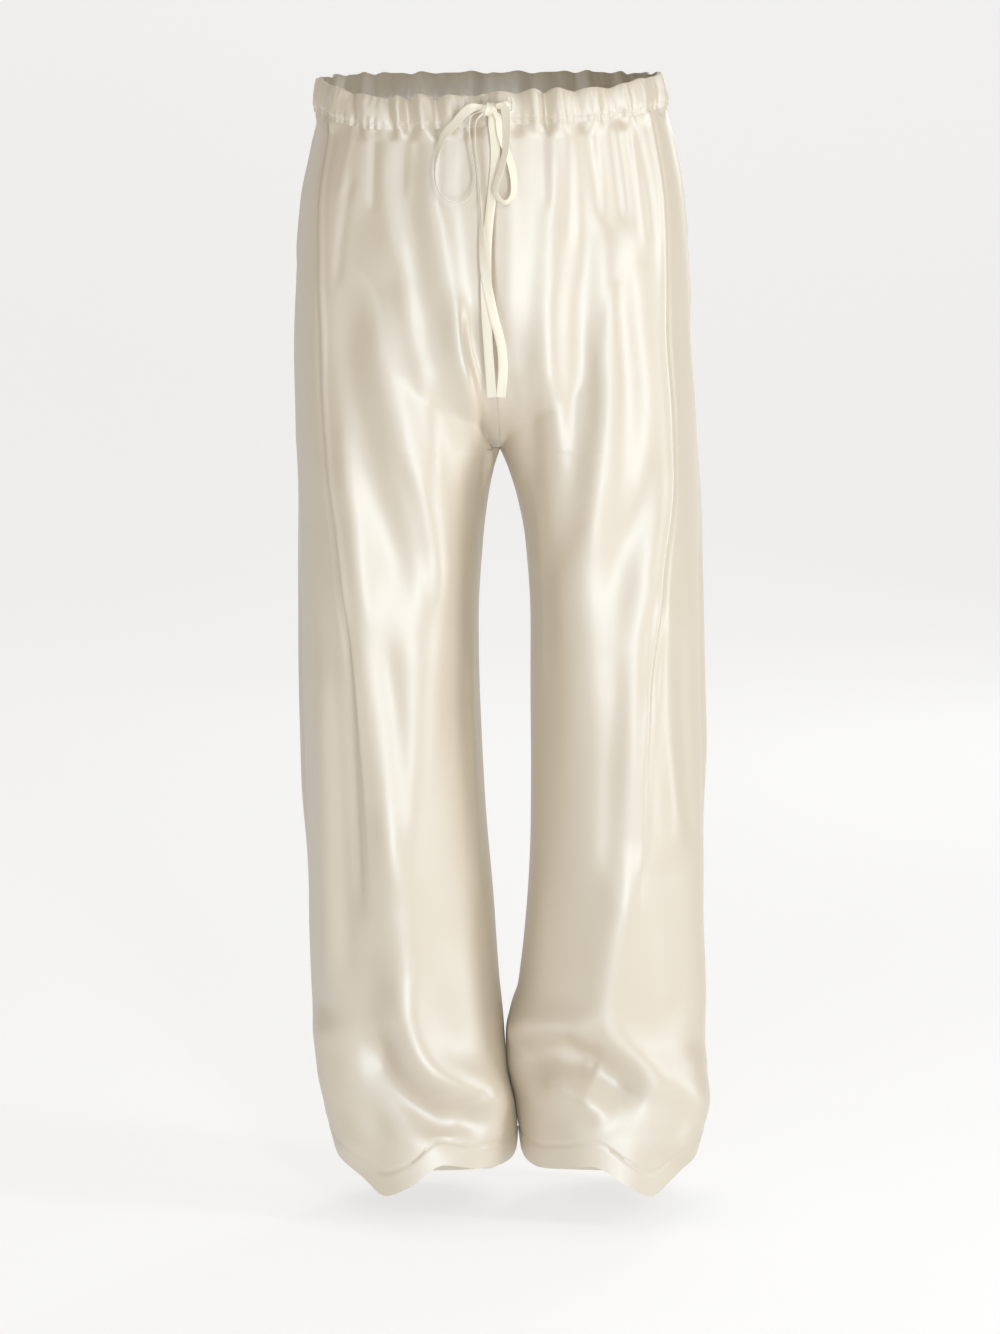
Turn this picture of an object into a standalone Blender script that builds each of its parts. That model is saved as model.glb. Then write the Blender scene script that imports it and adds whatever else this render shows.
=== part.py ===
"""Wide-leg drawstring trousers, hollow and hanging as they are worn.

The cloth is a set of thin walls: two front panels, two back panels, a gathered waist casing in
two halves and a turned-up hem inside each leg. A flat drawstring comes out of two buttonholes
and is tied in a bow. Left and right are the wearer's.

Frame: metres, +Z up, the front faces -Y and the wearer's left is +X. The origin is inside the
waist opening, at the height where the drawstring leaves the casing.
"""

import math
from collections import namedtuple

import bmesh
import bpy
import numpy as np

WALL = 0.0015
SEAM_GAP = 0.0003
CROTCH_Z = -0.348
HEM_Z = -1.110
BREAK_TOP_Z = -0.880
CASING_TOP_Z = 0.013
CASING_FOOT_Z = -0.019
CASING_WALL = 0.003
CASING_SHARES = (0.0, 0.5, 1.0)
CASING_BULGE = (0.0005, 0.0014, 0.0006)
INNER_GATHER_SHARE = 0.6
HEM_DEPTH = 0.024
HEM_WALL = 0.001
RISE_CURVE = 0.090
SECTION_POWER = 2.15
# Leg and hips blend over this distance, where the cosine of the turn is past these two values.
BLEND = 0.050
BLEND_STARTS = -0.3
BLEND_IS_FULL = 0.6
# The waist's rise fades out above the first height, and the hem's shape fades in below the second.
WAIST_RISE_ENDS_Z = -0.16
HEM_SHAPE_STARTS_Z = -0.78
# A fold's degrees count as arcs of this radius, and it fades over this share of its run.
FOLD_RADIUS = 0.100
FOLD_FADE = 0.2
FOLD_STEPS = 5
SEARCH_STEPS = 30
MOST_REACH = 0.5
LEAST = 1e-6
SHARP_EDGE_DEGREES = 50

TAPE_WIDTH = 0.0095
TAPE_THICKNESS = 0.0012
TAPE_STEPS = 2
PINCH = 0.6
PINCH_LENGTH = 0.014
KNOT_CENTRE = (-0.0109, -0.1262, -0.0044)
KNOT_HALF_SIZE = (0.0085, 0.0056, 0.0060)
BUTTONHOLE_LENGTH = 0.012
BUTTONHOLE_WIDTH = 0.0034
BUTTONHOLE_THREAD = 0.0010
BUTTONHOLE_POINTS = 12
BUTTONHOLE_SIDES = 5
BUTTONHOLE_STEEPNESS = 3
BUTTONHOLES = {"right": (-0.0178, 0.0030), "left": (0.0099, 0.0004)}
KNOT_SEGMENTS = 12
KNOT_RINGS = 8

# Rows of points down a panel, and columns from its middle or inseam edge to the side seam.
ROWS_TO_CURVE = 7
ROWS_ON_CURVE = 5
ROWS_TO_BREAK = 12
ROWS_TO_TURNING = 12
COLUMNS = {"front": 16, "back": 22}
CASING_STEPS_PER_COLUMN = 3

SIDES = {"left": 1, "right": -1}
FACES = {"front": 1, "back": -1}

SATIN = (0.86, 0.81, 0.70)
TAPE = (0.90, 0.86, 0.76)
THREAD = (0.84, 0.79, 0.68)
SATIN_ROUGHNESS = 0.38
TAPE_ROUGHNESS = 0.42
THREAD_ROUGHNESS = 0.6

# How far the line between the legs leans to the wearer's left.
Lean = namedtuple("Lean", "z x")
LEAN = [
    Lean(0.06, -0.010),
    Lean(-0.10, -0.008),
    Lean(-0.22, -0.007),
    Lean(-0.348, 0.000),
    Lean(-0.45, 0.0045),
    Lean(-0.57, 0.005),
    Lean(-0.70, 0.008),
    Lean(-0.82, 0.011),
    Lean(-0.91, 0.0095),
    Lean(-0.96, 0.0055),
    Lean(-0.993, 0.007),
    Lean(-1.036, 0.016),
    Lean(-1.07, 0.0195),
    Lean(-1.16, 0.020),
]

# The seat and hips, from the waist to the fork: depth in front of and behind the side seams.
Hips = namedtuple("Hips", "z front back")
HIPS = [
    Hips(0.06, 0.108, 0.108),
    Hips(0.00, 0.112, 0.113),
    Hips(-0.06, 0.116, 0.123),
    Hips(-0.14, 0.119, 0.132),
    Hips(-0.24, 0.112, 0.131),
    Hips(-0.36, 0.098, 0.112),
]

# Level sections of the legs. The inner and outer edges are measured from the line between the
# legs, girth is the length of cloth round the leg, and middle is how far behind the side seams
# the section's middle lies.
Leg = namedtuple("Leg", "z inner left_outer right_outer girth middle")
LEGS = [
    Leg(0.06, -0.020, 0.170, 0.172, 0.560, 0.000),
    Leg(0.011, -0.020, 0.1745, 0.1745, 0.580, 0.000),
    Leg(-0.034, -0.020, 0.185, 0.181, 0.600, 0.002),
    Leg(-0.095, -0.020, 0.195, 0.194, 0.640, 0.006),
    Leg(-0.20, -0.024, 0.2015, 0.203, 0.712, 0.011),
    Leg(-0.30, -0.014, 0.203, 0.208, 0.720, 0.011),
    Leg(-0.348, 0.000, 0.202, 0.210, 0.705, 0.011),
    Leg(-0.370, 0.008, 0.202, 0.210, 0.696, 0.0105),
    Leg(-0.403, 0.0162, 0.202, 0.2105, 0.681, 0.010),
    Leg(-0.445, 0.0225, 0.201, 0.2115, 0.668, 0.009),
    Leg(-0.528, 0.0275, 0.202, 0.2105, 0.648, 0.008),
    Leg(-0.653, 0.026, 0.203, 0.210, 0.630, 0.007),
    Leg(-0.738, 0.0235, 0.203, 0.210, 0.621, 0.006),
    Leg(-0.822, 0.018, 0.202, 0.211, 0.616, 0.005),
    Leg(-0.908, 0.0105, 0.2065, 0.2075, 0.613, 0.004),
    Leg(-0.960, 0.0015, 0.210, 0.200, 0.611, 0.001),
    Leg(-0.993, 0.0004, 0.208, 0.198, 0.609, -0.003),
    Leg(-1.036, 0.0004, 0.201, 0.200, 0.607, -0.008),
    Leg(-1.060, 0.0010, 0.194, 0.197, 0.604, -0.011),
    Leg(-1.100, 0.0060, 0.183, 0.187, 0.598, -0.011),
    Leg(-1.140, 0.0160, 0.172, 0.176, 0.592, -0.009),
]

# Where the side seam lies round each leg. Degrees run from the inseam, 0, by way of the front,
# 90, to the outside, 180, and the back, 270.
Seam = namedtuple("Seam", "z left right")
SIDE_SEAM = [
    Seam(0.06, 150, 152),
    Seam(-0.05, 144, 145),
    Seam(-0.184, 137, 136),
    Seam(-0.30, 133, 132),
    Seam(-0.376, 126, 124),
    Seam(-0.456, 116, 116),
    Seam(-0.60, 107, 108),
    Seam(-0.80, 103, 106),
    Seam(-1.00, 112, 112),
    Seam(-1.16, 124, 122),
]

# How far the waist's edge rises above its middle front.
Edge = namedtuple("Edge", "degrees left right")
WAIST_RISE = [
    Edge(0, -0.001, -0.001),
    Edge(50, -0.001, -0.001),
    Edge(75, 0.001, -0.005),
    Edge(110, 0.004, -0.005),
    Edge(140, 0.012, 0.003),
    Edge(165, 0.018, 0.012),
    Edge(220, 0.022, 0.020),
    Edge(270, 0.024, 0.023),
    Edge(360, 0.024, 0.024),
]

# The height of the hem's edge. It arches over the instep and drops to the heel.
HEM_EDGE = [
    Edge(0, -1.084, -1.084),
    Edge(20, -1.088, -1.087),
    Edge(38, -1.090, -1.088),
    Edge(55, -1.086, -1.087),
    Edge(78, -1.081, -1.080),
    Edge(100, -1.101, -1.103),
    Edge(115, -1.113, -1.113),
    Edge(130, -1.100, -1.099),
    Edge(150, -1.086, -1.085),
    Edge(175, -1.078, -1.078),
    Edge(205, -1.101, -1.101),
    Edge(235, -1.127, -1.127),
    Edge(270, -1.136, -1.136),
    Edge(310, -1.126, -1.126),
    Edge(340, -1.102, -1.102),
    Edge(360, -1.082, -1.082),
]

# A fold is a soft ridge, or with a negative height a valley, along a curved path of heights and
# degrees on a leg. Width is half its breadth, and it fades at both ends.
Fold = namedtuple("Fold", "side width height path")
FOLDS = [
    # The front of the wearer's right leg, from the waist to the calf.
    Fold("right", 0.010, 0.0030, ((0.05, 120), (-0.05, 118), (-0.12, 115))),
    Fold("right", 0.013, 0.0040, ((0.05, 103), (-0.05, 100), (-0.11, 95), (-0.18, 92))),
    Fold("right", 0.011, -0.0045, ((-0.02, 97), (-0.09, 90), (-0.14, 84), (-0.20, 77), (-0.26, 72))),
    Fold(
        "right", 0.012, 0.0060,
        (
            (0.04, 79), (-0.08, 77), (-0.14, 74), (-0.20, 69), (-0.26, 63), (-0.33, 50),
            (-0.39, 34),
        ),
    ),
    Fold("right", 0.009, -0.0045, ((0.04, 67), (-0.10, 66), (-0.17, 65), (-0.24, 60), (-0.31, 50))),
    Fold(
        "right", 0.015, 0.0055,
        ((0.04, 130), (-0.10, 133), (-0.18, 133), (-0.25, 127), (-0.36, 115), (-0.48, 107)),
    ),
    Fold(
        "right", 0.017, -0.0075,
        (
            (-0.17, 122), (-0.26, 117), (-0.32, 109), (-0.38, 97), (-0.44, 86), (-0.50, 77),
            (-0.56, 71),
        ),
    ),
    Fold(
        "right", 0.019, 0.0085,
        ((-0.17, 106), (-0.27, 98), (-0.33, 88), (-0.39, 76), (-0.45, 66), (-0.54, 56)),
    ),
    Fold("right", 0.015, 0.0065, ((-0.40, 112), (-0.55, 105), (-0.63, 100), (-0.72, 95), (-0.82, 90))),
    Fold("right", 0.020, 0.0070, ((-0.44, 80), (-0.54, 72), (-0.62, 75), (-0.70, 82), (-0.78, 87))),
    Fold("right", 0.013, 0.0050, ((-0.52, 126), (-0.69, 133), (-0.81, 137), (-0.94, 139))),
    Fold(
        "right", 0.012, -0.0055,
        ((-0.48, 122), (-0.62, 120), (-0.72, 121), (-0.82, 124), (-0.92, 127)),
    ),
    Fold("right", 0.028, -0.0035, ((-0.54, 42), (-0.68, 42), (-0.80, 44), (-0.92, 48))),
    # The break of the wearer's right leg.
    Fold(
        "right", 0.022, 0.0135,
        (
            (-0.70, 88), (-0.80, 90), (-0.87, 91), (-0.93, 90), (-0.965, 85), (-0.99, 74),
            (-1.003, 58), (-1.012, 44), (-1.03, 28), (-1.06, 14),
        ),
    ),
    Fold(
        "right", 0.018, -0.0120,
        (
            (-0.93, 112), (-0.975, 105), (-1.008, 92), (-1.024, 76), (-1.034, 60),
            (-1.055, 44),
        ),
    ),
    Fold(
        "right", 0.020, -0.0060,
        ((-0.82, 104), (-0.90, 108), (-0.96, 116), (-1.02, 118), (-1.08, 112)),
    ),
    Fold("right", 0.022, 0.0080, ((-0.92, 150), (-0.99, 149), (-1.03, 145), (-1.10, 134))),
    # The front of the wearer's left leg, from the waist to the calf.
    Fold("left", 0.010, 0.0045, ((0.04, 62), (-0.08, 62), (-0.16, 62), (-0.25, 59))),
    Fold(
        "left", 0.011, -0.0050,
        ((0.04, 70), (-0.08, 70), (-0.15, 69), (-0.24, 66), (-0.32, 58), (-0.41, 44)),
    ),
    Fold(
        "left", 0.015, 0.0080,
        (
            (0.03, 81), (-0.10, 77), (-0.18, 76), (-0.26, 74), (-0.34, 72), (-0.40, 64),
            (-0.47, 50),
        ),
    ),
    Fold(
        "left", 0.014, -0.0065,
        (
            (-0.02, 92), (-0.18, 89), (-0.26, 88), (-0.33, 82), (-0.39, 74), (-0.44, 63),
            (-0.50, 52),
        ),
    ),
    Fold("left", 0.012, 0.0030, ((0.05, 99), (-0.06, 98), (-0.13, 97))),
    Fold("left", 0.011, -0.0035, ((0.05, 110), (-0.06, 109), (-0.14, 110))),
    Fold(
        "left", 0.019, 0.0080,
        (
            (-0.08, 102), (-0.22, 105), (-0.29, 102), (-0.36, 90), (-0.42, 76), (-0.48, 68),
            (-0.56, 71), (-0.68, 77),
        ),
    ),
    Fold(
        "left", 0.015, -0.0050,
        ((-0.12, 119), (-0.24, 122), (-0.32, 118), (-0.40, 103), (-0.46, 92), (-0.54, 85)),
    ),
    Fold(
        "left", 0.014, 0.0060,
        (
            (0.04, 140), (-0.10, 135), (-0.20, 133), (-0.30, 130), (-0.38, 121), (-0.46, 109),
            (-0.55, 100), (-0.64, 99), (-0.72, 97), (-0.80, 93),
        ),
    ),
    Fold("left", 0.012, 0.0055, ((-0.46, 113), (-0.58, 116), (-0.66, 119), (-0.78, 130))),
    Fold("left", 0.013, -0.0045, ((-0.52, 128), (-0.66, 132), (-0.78, 142))),
    Fold("left", 0.024, -0.0035, ((-0.56, 44), (-0.70, 46), (-0.82, 50), (-0.92, 52))),
    Fold("left", 0.022, -0.0050, ((-0.74, 120), (-0.86, 130), (-0.96, 140))),
    # The break of the wearer's left leg.
    Fold(
        "left", 0.018, 0.0105,
        (
            (-0.74, 97), (-0.80, 94), (-0.86, 88), (-0.91, 85), (-0.940, 89), (-0.962, 98),
            (-0.992, 120), (-1.012, 143), (-1.045, 172),
        ),
    ),
    Fold("left", 0.014, 0.0060, ((-0.970, 8), (-0.945, 36), (-0.940, 60), (-0.948, 84))),
    Fold(
        "left", 0.017, -0.0110,
        ((-0.995, 16), (-0.972, 44), (-0.970, 68), (-0.984, 92), (-1.012, 116)),
    ),
    Fold("left", 0.011, -0.0040, ((-0.950, 56), (-0.972, 70), (-0.985, 84))),
    Fold("left", 0.024, 0.0080, ((-0.96, 154), (-1.02, 148), (-1.09, 132))),
    # The seat and the back of each leg.
    Fold("right", 0.014, 0.0045, ((0.05, 200), (-0.08, 199), (-0.22, 194))),
    Fold("right", 0.013, -0.0040, ((0.05, 214), (-0.07, 213), (-0.18, 210))),
    Fold("right", 0.016, 0.0050, ((0.05, 228), (-0.12, 226), (-0.28, 220))),
    Fold("right", 0.014, 0.0045, ((0.05, 256), (-0.08, 254), (-0.22, 248))),
    Fold("right", 0.014, 0.0040, ((0.05, 284), (-0.10, 282), (-0.26, 276))),
    Fold("right", 0.026, 0.0085, ((-0.22, 270), (-0.40, 262), (-0.62, 246), (-0.88, 238))),
    Fold("right", 0.024, 0.0070, ((-0.18, 214), (-0.36, 210), (-0.58, 196), (-0.82, 188))),
    Fold("right", 0.024, -0.0065, ((-0.28, 240), (-0.46, 234), (-0.66, 222), (-0.92, 214))),
    Fold("right", 0.022, 0.0075, ((-0.30, 326), (-0.42, 308), (-0.60, 294), (-0.82, 288))),
    Fold("right", 0.022, -0.0055, ((-0.34, 300), (-0.50, 284), (-0.72, 268))),
    Fold("right", 0.022, 0.0100, ((-0.92, 344), (-0.955, 310), (-0.965, 270), (-0.95, 230))),
    Fold("right", 0.020, -0.0100, ((-1.00, 336), (-1.01, 300), (-1.02, 258), (-1.00, 205))),
    Fold("left", 0.014, 0.0045, ((0.05, 194), (-0.08, 193), (-0.24, 190))),
    Fold("left", 0.013, -0.0040, ((0.05, 208), (-0.07, 207), (-0.17, 204))),
    Fold("left", 0.014, 0.0045, ((0.05, 222), (-0.08, 220), (-0.22, 214))),
    Fold("left", 0.016, 0.0050, ((0.05, 248), (-0.12, 245), (-0.30, 238))),
    Fold("left", 0.014, 0.0040, ((0.05, 278), (-0.08, 276), (-0.24, 270))),
    Fold("left", 0.026, 0.0085, ((-0.24, 264), (-0.42, 256), (-0.66, 240), (-0.94, 232))),
    Fold("left", 0.024, 0.0070, ((-0.16, 208), (-0.34, 204), (-0.54, 192), (-0.76, 182))),
    Fold("left", 0.024, -0.0065, ((-0.30, 234), (-0.48, 228), (-0.68, 216), (-0.90, 208))),
    Fold("left", 0.022, 0.0075, ((-0.30, 322), (-0.44, 306), (-0.62, 296), (-0.86, 290))),
    Fold("left", 0.022, -0.0055, ((-0.33, 298), (-0.52, 280), (-0.74, 262))),
    Fold("left", 0.022, 0.0100, ((-0.91, 348), (-0.945, 316), (-0.955, 276), (-0.94, 236))),
    Fold("left", 0.020, -0.0100, ((-0.99, 340), (-1.00, 306), (-1.01, 262), (-0.985, 200))),
]

# The gathers of the waist, which the casing has and the panels only begin.
GATHERS = [
    Fold("right", 0.0090, 0.0050, ((0.06, 144), (-0.05, 140))),
    Fold("right", 0.0060, -0.0040, ((0.05, 137), (0.00, 128), (-0.06, 112))),
    Fold("right", 0.0100, 0.0040, ((0.05, 124), (0.00, 119), (-0.05, 106))),
    Fold("right", 0.0050, -0.0045, ((0.05, 110), (-0.01, 103), (-0.05, 97))),
    Fold("right", 0.0050, 0.0035, ((0.05, 104), (-0.05, 93))),
    Fold("right", 0.0045, -0.0045, ((0.05, 98), (-0.05, 88))),
    Fold("right", 0.0065, 0.0065, ((0.05, 90), (0.00, 85), (-0.06, 80))),
    Fold("right", 0.0045, -0.0050, ((0.05, 81), (-0.05, 75))),
    Fold("right", 0.0065, 0.0040, ((0.04, 73), (-0.04, 71))),
    Fold("right", 0.0045, -0.0035, ((0.04, 61), (-0.04, 62))),
    Fold("left", 0.0050, 0.0025, ((0.04, 59), (-0.04, 59))),
    Fold("left", 0.0045, -0.0040, ((0.05, 66), (-0.05, 65))),
    Fold("left", 0.0055, 0.0050, ((0.05, 72), (-0.05, 73))),
    Fold("left", 0.0040, -0.0050, ((0.05, 78), (-0.05, 77))),
    Fold("left", 0.0065, 0.0055, ((0.05, 84), (-0.06, 84))),
    Fold("left", 0.0060, -0.0040, ((0.05, 93), (-0.05, 96))),
    Fold("left", 0.0100, 0.0035, ((0.05, 105), (-0.05, 104))),
    Fold("left", 0.0070, -0.0030, ((0.05, 116), (0.00, 119), (-0.07, 128))),
    Fold("left", 0.0060, 0.0025, ((0.05, 124), (-0.05, 131))),
    Fold("left", 0.0090, 0.0050, ((0.06, 138), (-0.05, 141))),
]
# The waist's gathers behind, on each side, stand between these degrees.
BACK_GATHERS_FROM = 158
BACK_GATHERS_TO = 304
BACK_GATHERS = 15
BACK_GATHER_TOP_Z = 0.08
BACK_GATHER_FOOT_Z = -0.05
BACK_GATHER_WIDTH = 0.0055
BACK_GATHER_RIDGE = 0.0032
BACK_GATHER_VALLEY = -0.0026
# The phase each gather has past the one before, and how much the phase changes it.
BACK_GATHER_PHASE = 2.1
BACK_GATHER_SHIFT = 0.25
BACK_GATHER_SLANT = 2
BACK_GATHER_UNEVENNESS = 0.3

# The drawstring's route. Face is how far the tape's flat side is turned from the front.
Route = namedtuple("Route", "x y z face")
LEADS = {
    "right": [
        Route(-0.0178, -0.1130, 0.0030, 0),
        Route(-0.0176, -0.1175, 0.0028, 0),
        Route(-0.0168, -0.1210, 0.0018, 0),
        Route(-0.0147, -0.1230, 0.0000, 0),
    ],
    "left": [
        Route(0.0099, -0.1165, 0.0004, 0),
        Route(0.0088, -0.1210, 0.0004, 0),
        Route(0.0045, -0.1243, 0.0000, 0),
        Route(-0.0030, -0.1254, -0.0016, 0),
    ],
}
LOOPS = {
    "right": [
        Route(-0.0191, -0.1287, -0.0018, 10),
        Route(-0.0290, -0.1305, -0.0035, 15),
        Route(-0.0375, -0.1320, -0.0104, 20),
        Route(-0.0437, -0.1340, -0.0181, 25),
        Route(-0.0523, -0.1360, -0.0270, 35),
        Route(-0.0578, -0.1375, -0.0359, 50),
        Route(-0.0639, -0.1380, -0.0560, 75),
        Route(-0.0639, -0.1370, -0.0760, 85),
        Route(-0.0570, -0.1360, -0.0901, 85),
        Route(-0.0438, -0.1350, -0.0972, 85),
        Route(-0.0317, -0.1340, -0.0922, 88),
        Route(-0.0252, -0.1330, -0.0761, 90),
        Route(-0.0257, -0.1320, -0.0610, 90),
        Route(-0.0287, -0.1310, -0.0410, 90),
        Route(-0.0301, -0.1300, -0.0231, 90),
        Route(-0.0277, -0.1290, -0.0113, 90),
        Route(-0.0190, -0.1276, -0.0063, 90),
    ],
    "left": [
        Route(-0.0028, -0.1291, -0.0004, 5),
        Route(0.0035, -0.1315, -0.0022, 20),
        Route(0.0064, -0.1345, -0.0133, 35),
        Route(0.0069, -0.1370, -0.0300, 45),
        Route(0.0053, -0.1380, -0.0466, 50),
        Route(0.0010, -0.1380, -0.0623, 50),
        Route(-0.0040, -0.1375, -0.0770, 50),
        Route(-0.0047, -0.1370, -0.0868, 55),
        Route(0.0005, -0.1360, -0.0947, 60),
        Route(0.0069, -0.1350, -0.0962, 60),
        Route(0.0125, -0.1340, -0.0898, 55),
        Route(0.0142, -0.1325, -0.0790, 45),
        Route(0.0119, -0.1305, -0.0630, 40),
        Route(0.0075, -0.1290, -0.0486, 40),
        Route(0.0035, -0.1280, -0.0378, 35),
        Route(0.0010, -0.1278, -0.0269, 25),
        Route(-0.0005, -0.1278, -0.0150, 10),
        Route(-0.0036, -0.1274, -0.0082, 5),
    ],
}
TAILS = {
    "right": [
        Route(-0.0175, -0.1264, -0.0085, 90),
        Route(-0.0235, -0.1270, -0.0172, 90),
        Route(-0.0238, -0.1270, -0.0348, 90),
        Route(-0.0220, -0.1270, -0.0594, 90),
        Route(-0.0205, -0.1280, -0.0860, 85),
        Route(-0.0193, -0.1300, -0.1086, 75),
        Route(-0.0179, -0.1315, -0.1333, 50),
        Route(-0.0144, -0.1325, -0.1669, 15),
        Route(-0.0070, -0.1325, -0.2046, 0),
        Route(-0.0010, -0.1320, -0.2275, 0),
        Route(0.0020, -0.1315, -0.2424, 0),
        Route(0.0030, -0.1305, -0.2633, 0),
        Route(0.0010, -0.1295, -0.2893, 5),
    ],
    "left": [
        Route(-0.0089, -0.1244, -0.0102, 0),
        Route(-0.0062, -0.1225, -0.0250, 0),
        Route(-0.0045, -0.1215, -0.0446, 0),
        Route(-0.0052, -0.1220, -0.0643, 5),
        Route(-0.0079, -0.1235, -0.0890, 10),
        Route(-0.0109, -0.1255, -0.1136, 10),
        Route(-0.0129, -0.1275, -0.1384, 5),
        Route(-0.0144, -0.1285, -0.1631, 0),
        Route(-0.0144, -0.1287, -0.1929, 0),
        Route(-0.0125, -0.1285, -0.2277, 0),
        Route(-0.0100, -0.1275, -0.2635, 5),
        Route(-0.0080, -0.1260, -0.2895, 8),
    ],
}


def smooth_table(rows, column, at):
    """The column's value at each height or angle, on a curve that never swings past its rows."""
    ordered = sorted(rows, key=lambda row: row[0])
    knots = np.array([row[0] for row in ordered], float)
    values = np.array([getattr(row, column) for row in ordered], float)
    spans = np.diff(knots)
    slopes = np.diff(values) / spans
    tangents = np.zeros(len(knots))
    same_way = slopes[:-1] * slopes[1:] > 0
    harmonic = 2 * slopes[:-1] * slopes[1:] / np.where(same_way, slopes[:-1] + slopes[1:], 1.0)
    tangents[1:-1] = np.where(same_way, harmonic, 0.0)
    tangents[0] = slopes[0]
    tangents[-1] = slopes[-1]
    at = np.clip(at, knots[0], knots[-1])
    span = np.clip(np.searchsorted(knots, at, side="right") - 1, 0, len(spans) - 1)
    width = spans[span]
    share = (at - knots[span]) / width
    start = values[span] * (1 + 2 * share) * (1 - share) ** 2
    end = values[span + 1] * share**2 * (3 - 2 * share)
    bend = tangents[span] * share * (1 - share) ** 2 + tangents[span + 1] * share**2 * (share - 1)
    return start + end + bend * width


def smooth_step(low, high, at):
    """0 at low and before it, 1 at high and past it, and a soft S between."""
    share = np.clip((at - low) / (high - low), 0.0, 1.0)
    return share * share * (3 - 2 * share)


def leg_edges(side, z):
    """The leg's inner and outer edges, from the line between the legs."""
    return smooth_table(LEGS, "inner", z), smooth_table(LEGS, side + "_outer", z)


def leg_axis(side, z):
    """The middle of the leg's section: its distance from the line between the legs, and its y."""
    inner, outer = leg_edges(side, z)
    return (inner + outer) / 2, smooth_table(LEGS, "middle", z)


def leg_radius(side, turn, z):
    """From the leg's axis to the leg alone: a rounded section of the table's width and girth."""
    inner, outer = leg_edges(side, z)
    half_width = (outer - inner) / 2
    mean_square = 2 * (smooth_table(LEGS, "girth", z) / (2 * math.pi)) ** 2
    half_depth = np.sqrt(mean_square - half_width**2)
    across = np.abs(np.cos(turn)) / half_width
    along = np.abs(np.sin(turn)) / half_depth
    return (across**SECTION_POWER + along**SECTION_POWER) ** (-1 / SECTION_POWER)


def curve_share(z):
    """How much of the hips' depth is left at this height of the rise: all of it, or 0 at the fork."""
    rise = np.clip((z - CROTCH_Z) / RISE_CURVE, 0.0, 1.0)
    return np.sqrt(np.maximum(1 - (1 - rise) ** 2, 0.0))


def hip_radius(side, turn, z):
    """From the leg's axis to the hips' section, which closes to a line at the fork and ends."""
    across, middle = leg_axis(side, z)
    _, half_width = leg_edges(side, z)
    front = np.maximum(smooth_table(HIPS, "front", z) * curve_share(z), LEAST)
    back = np.maximum(smooth_table(HIPS, "back", z) * curve_share(z), LEAST)
    low = np.zeros(np.shape(turn))
    high = np.full(np.shape(turn), MOST_REACH)
    for _ in range(SEARCH_STEPS):
        reach = (low + high) / 2
        x = across - reach * np.cos(turn)
        y = middle - reach * np.sin(turn)
        depth = np.where(y < 0, front, back)
        inside = np.abs(x / half_width) ** SECTION_POWER + np.abs(y / depth) ** SECTION_POWER < 1
        low = np.where(inside, reach, low)
        high = np.where(inside, high, reach)
    return np.where(z > CROTCH_Z, (low + high) / 2, 0.0)


def body_radius(side, turn, z):
    """The softened union of leg and hips, as a distance from the leg's axis."""
    leg = leg_radius(side, turn, z)
    hips = hip_radius(side, turn, z)
    inward = smooth_step(BLEND_STARTS, BLEND_IS_FULL, np.cos(turn))
    soft = BLEND * inward * smooth_step(CROTCH_Z, CROTCH_Z + RISE_CURVE, z) + LEAST
    overlap = np.maximum(soft - np.abs(leg - hips), 0.0) / soft
    return np.maximum(leg, hips) + overlap * overlap * soft / 4


def first_turn(side, face, z):
    """How far round from the inseam the panel starts, at the line between the legs."""
    across, _ = leg_axis(side, z)
    low = np.zeros(np.shape(z))
    high = np.full(np.shape(z), math.pi / 2)
    for _ in range(SEARCH_STEPS):
        turn = (low + high) / 2
        past = body_radius(side, FACES[face] * turn, z) * np.cos(turn) > across
        low = np.where(past, turn, low)
        high = np.where(past, high, turn)
    return np.where(z > CROTCH_Z + LEAST, (low + high) / 2, 0.0)


def row_heights():
    """The heights of a panel's rows at its inner edge and at the side seam."""
    curve = [
        CROTCH_Z + RISE_CURVE * (1 - math.cos(math.pi / 2 * (1 - row / ROWS_ON_CURVE)))
        for row in range(1, ROWS_ON_CURVE + 1)
    ]
    above = np.linspace(CASING_FOOT_Z - SEAM_GAP, CROTCH_Z + RISE_CURVE, ROWS_TO_CURVE + 1)
    side = np.linspace(above[0], CROTCH_Z, ROWS_TO_CURVE + ROWS_ON_CURVE + 1)
    leg = np.linspace(CROTCH_Z, BREAK_TOP_Z, ROWS_TO_BREAK + 1)[1:]
    foot = np.linspace(BREAK_TOP_Z, HEM_Z + HEM_DEPTH, ROWS_TO_TURNING + 1)[1:]
    below = np.concatenate([leg, foot, [HEM_Z]])
    return np.concatenate([above, curve, below]), np.concatenate([side, below])


def panel_turns_and_heights(side, face):
    """The panel's grid of points, as angles round the leg and heights."""
    inner, outer = row_heights()
    share = np.linspace(0.0, 1.0, COLUMNS[face] + 1)[None, :]
    z = outer[:, None] + (inner - outer)[:, None] * (1 - share) ** 2
    seam = np.radians(smooth_table(SIDE_SEAM, side, z))
    if face == "back":
        seam = 2 * math.pi - seam
    start = first_turn(side, face, inner)[:, None]
    turn = start + (seam - start) * share
    if face == "back":
        turn = 2 * math.pi - turn
    degrees = np.degrees(turn)
    waist = smooth_step(WAIST_RISE_ENDS_Z, CASING_FOOT_Z - SEAM_GAP, z)
    hem = 1 - smooth_step(HEM_Z + HEM_DEPTH, HEM_SHAPE_STARTS_Z, z)
    z = z + smooth_table(WAIST_RISE, side, degrees) * waist
    z = z + (smooth_table(HEM_EDGE, side, degrees) - HEM_Z) * hem
    return turn, z


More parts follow.
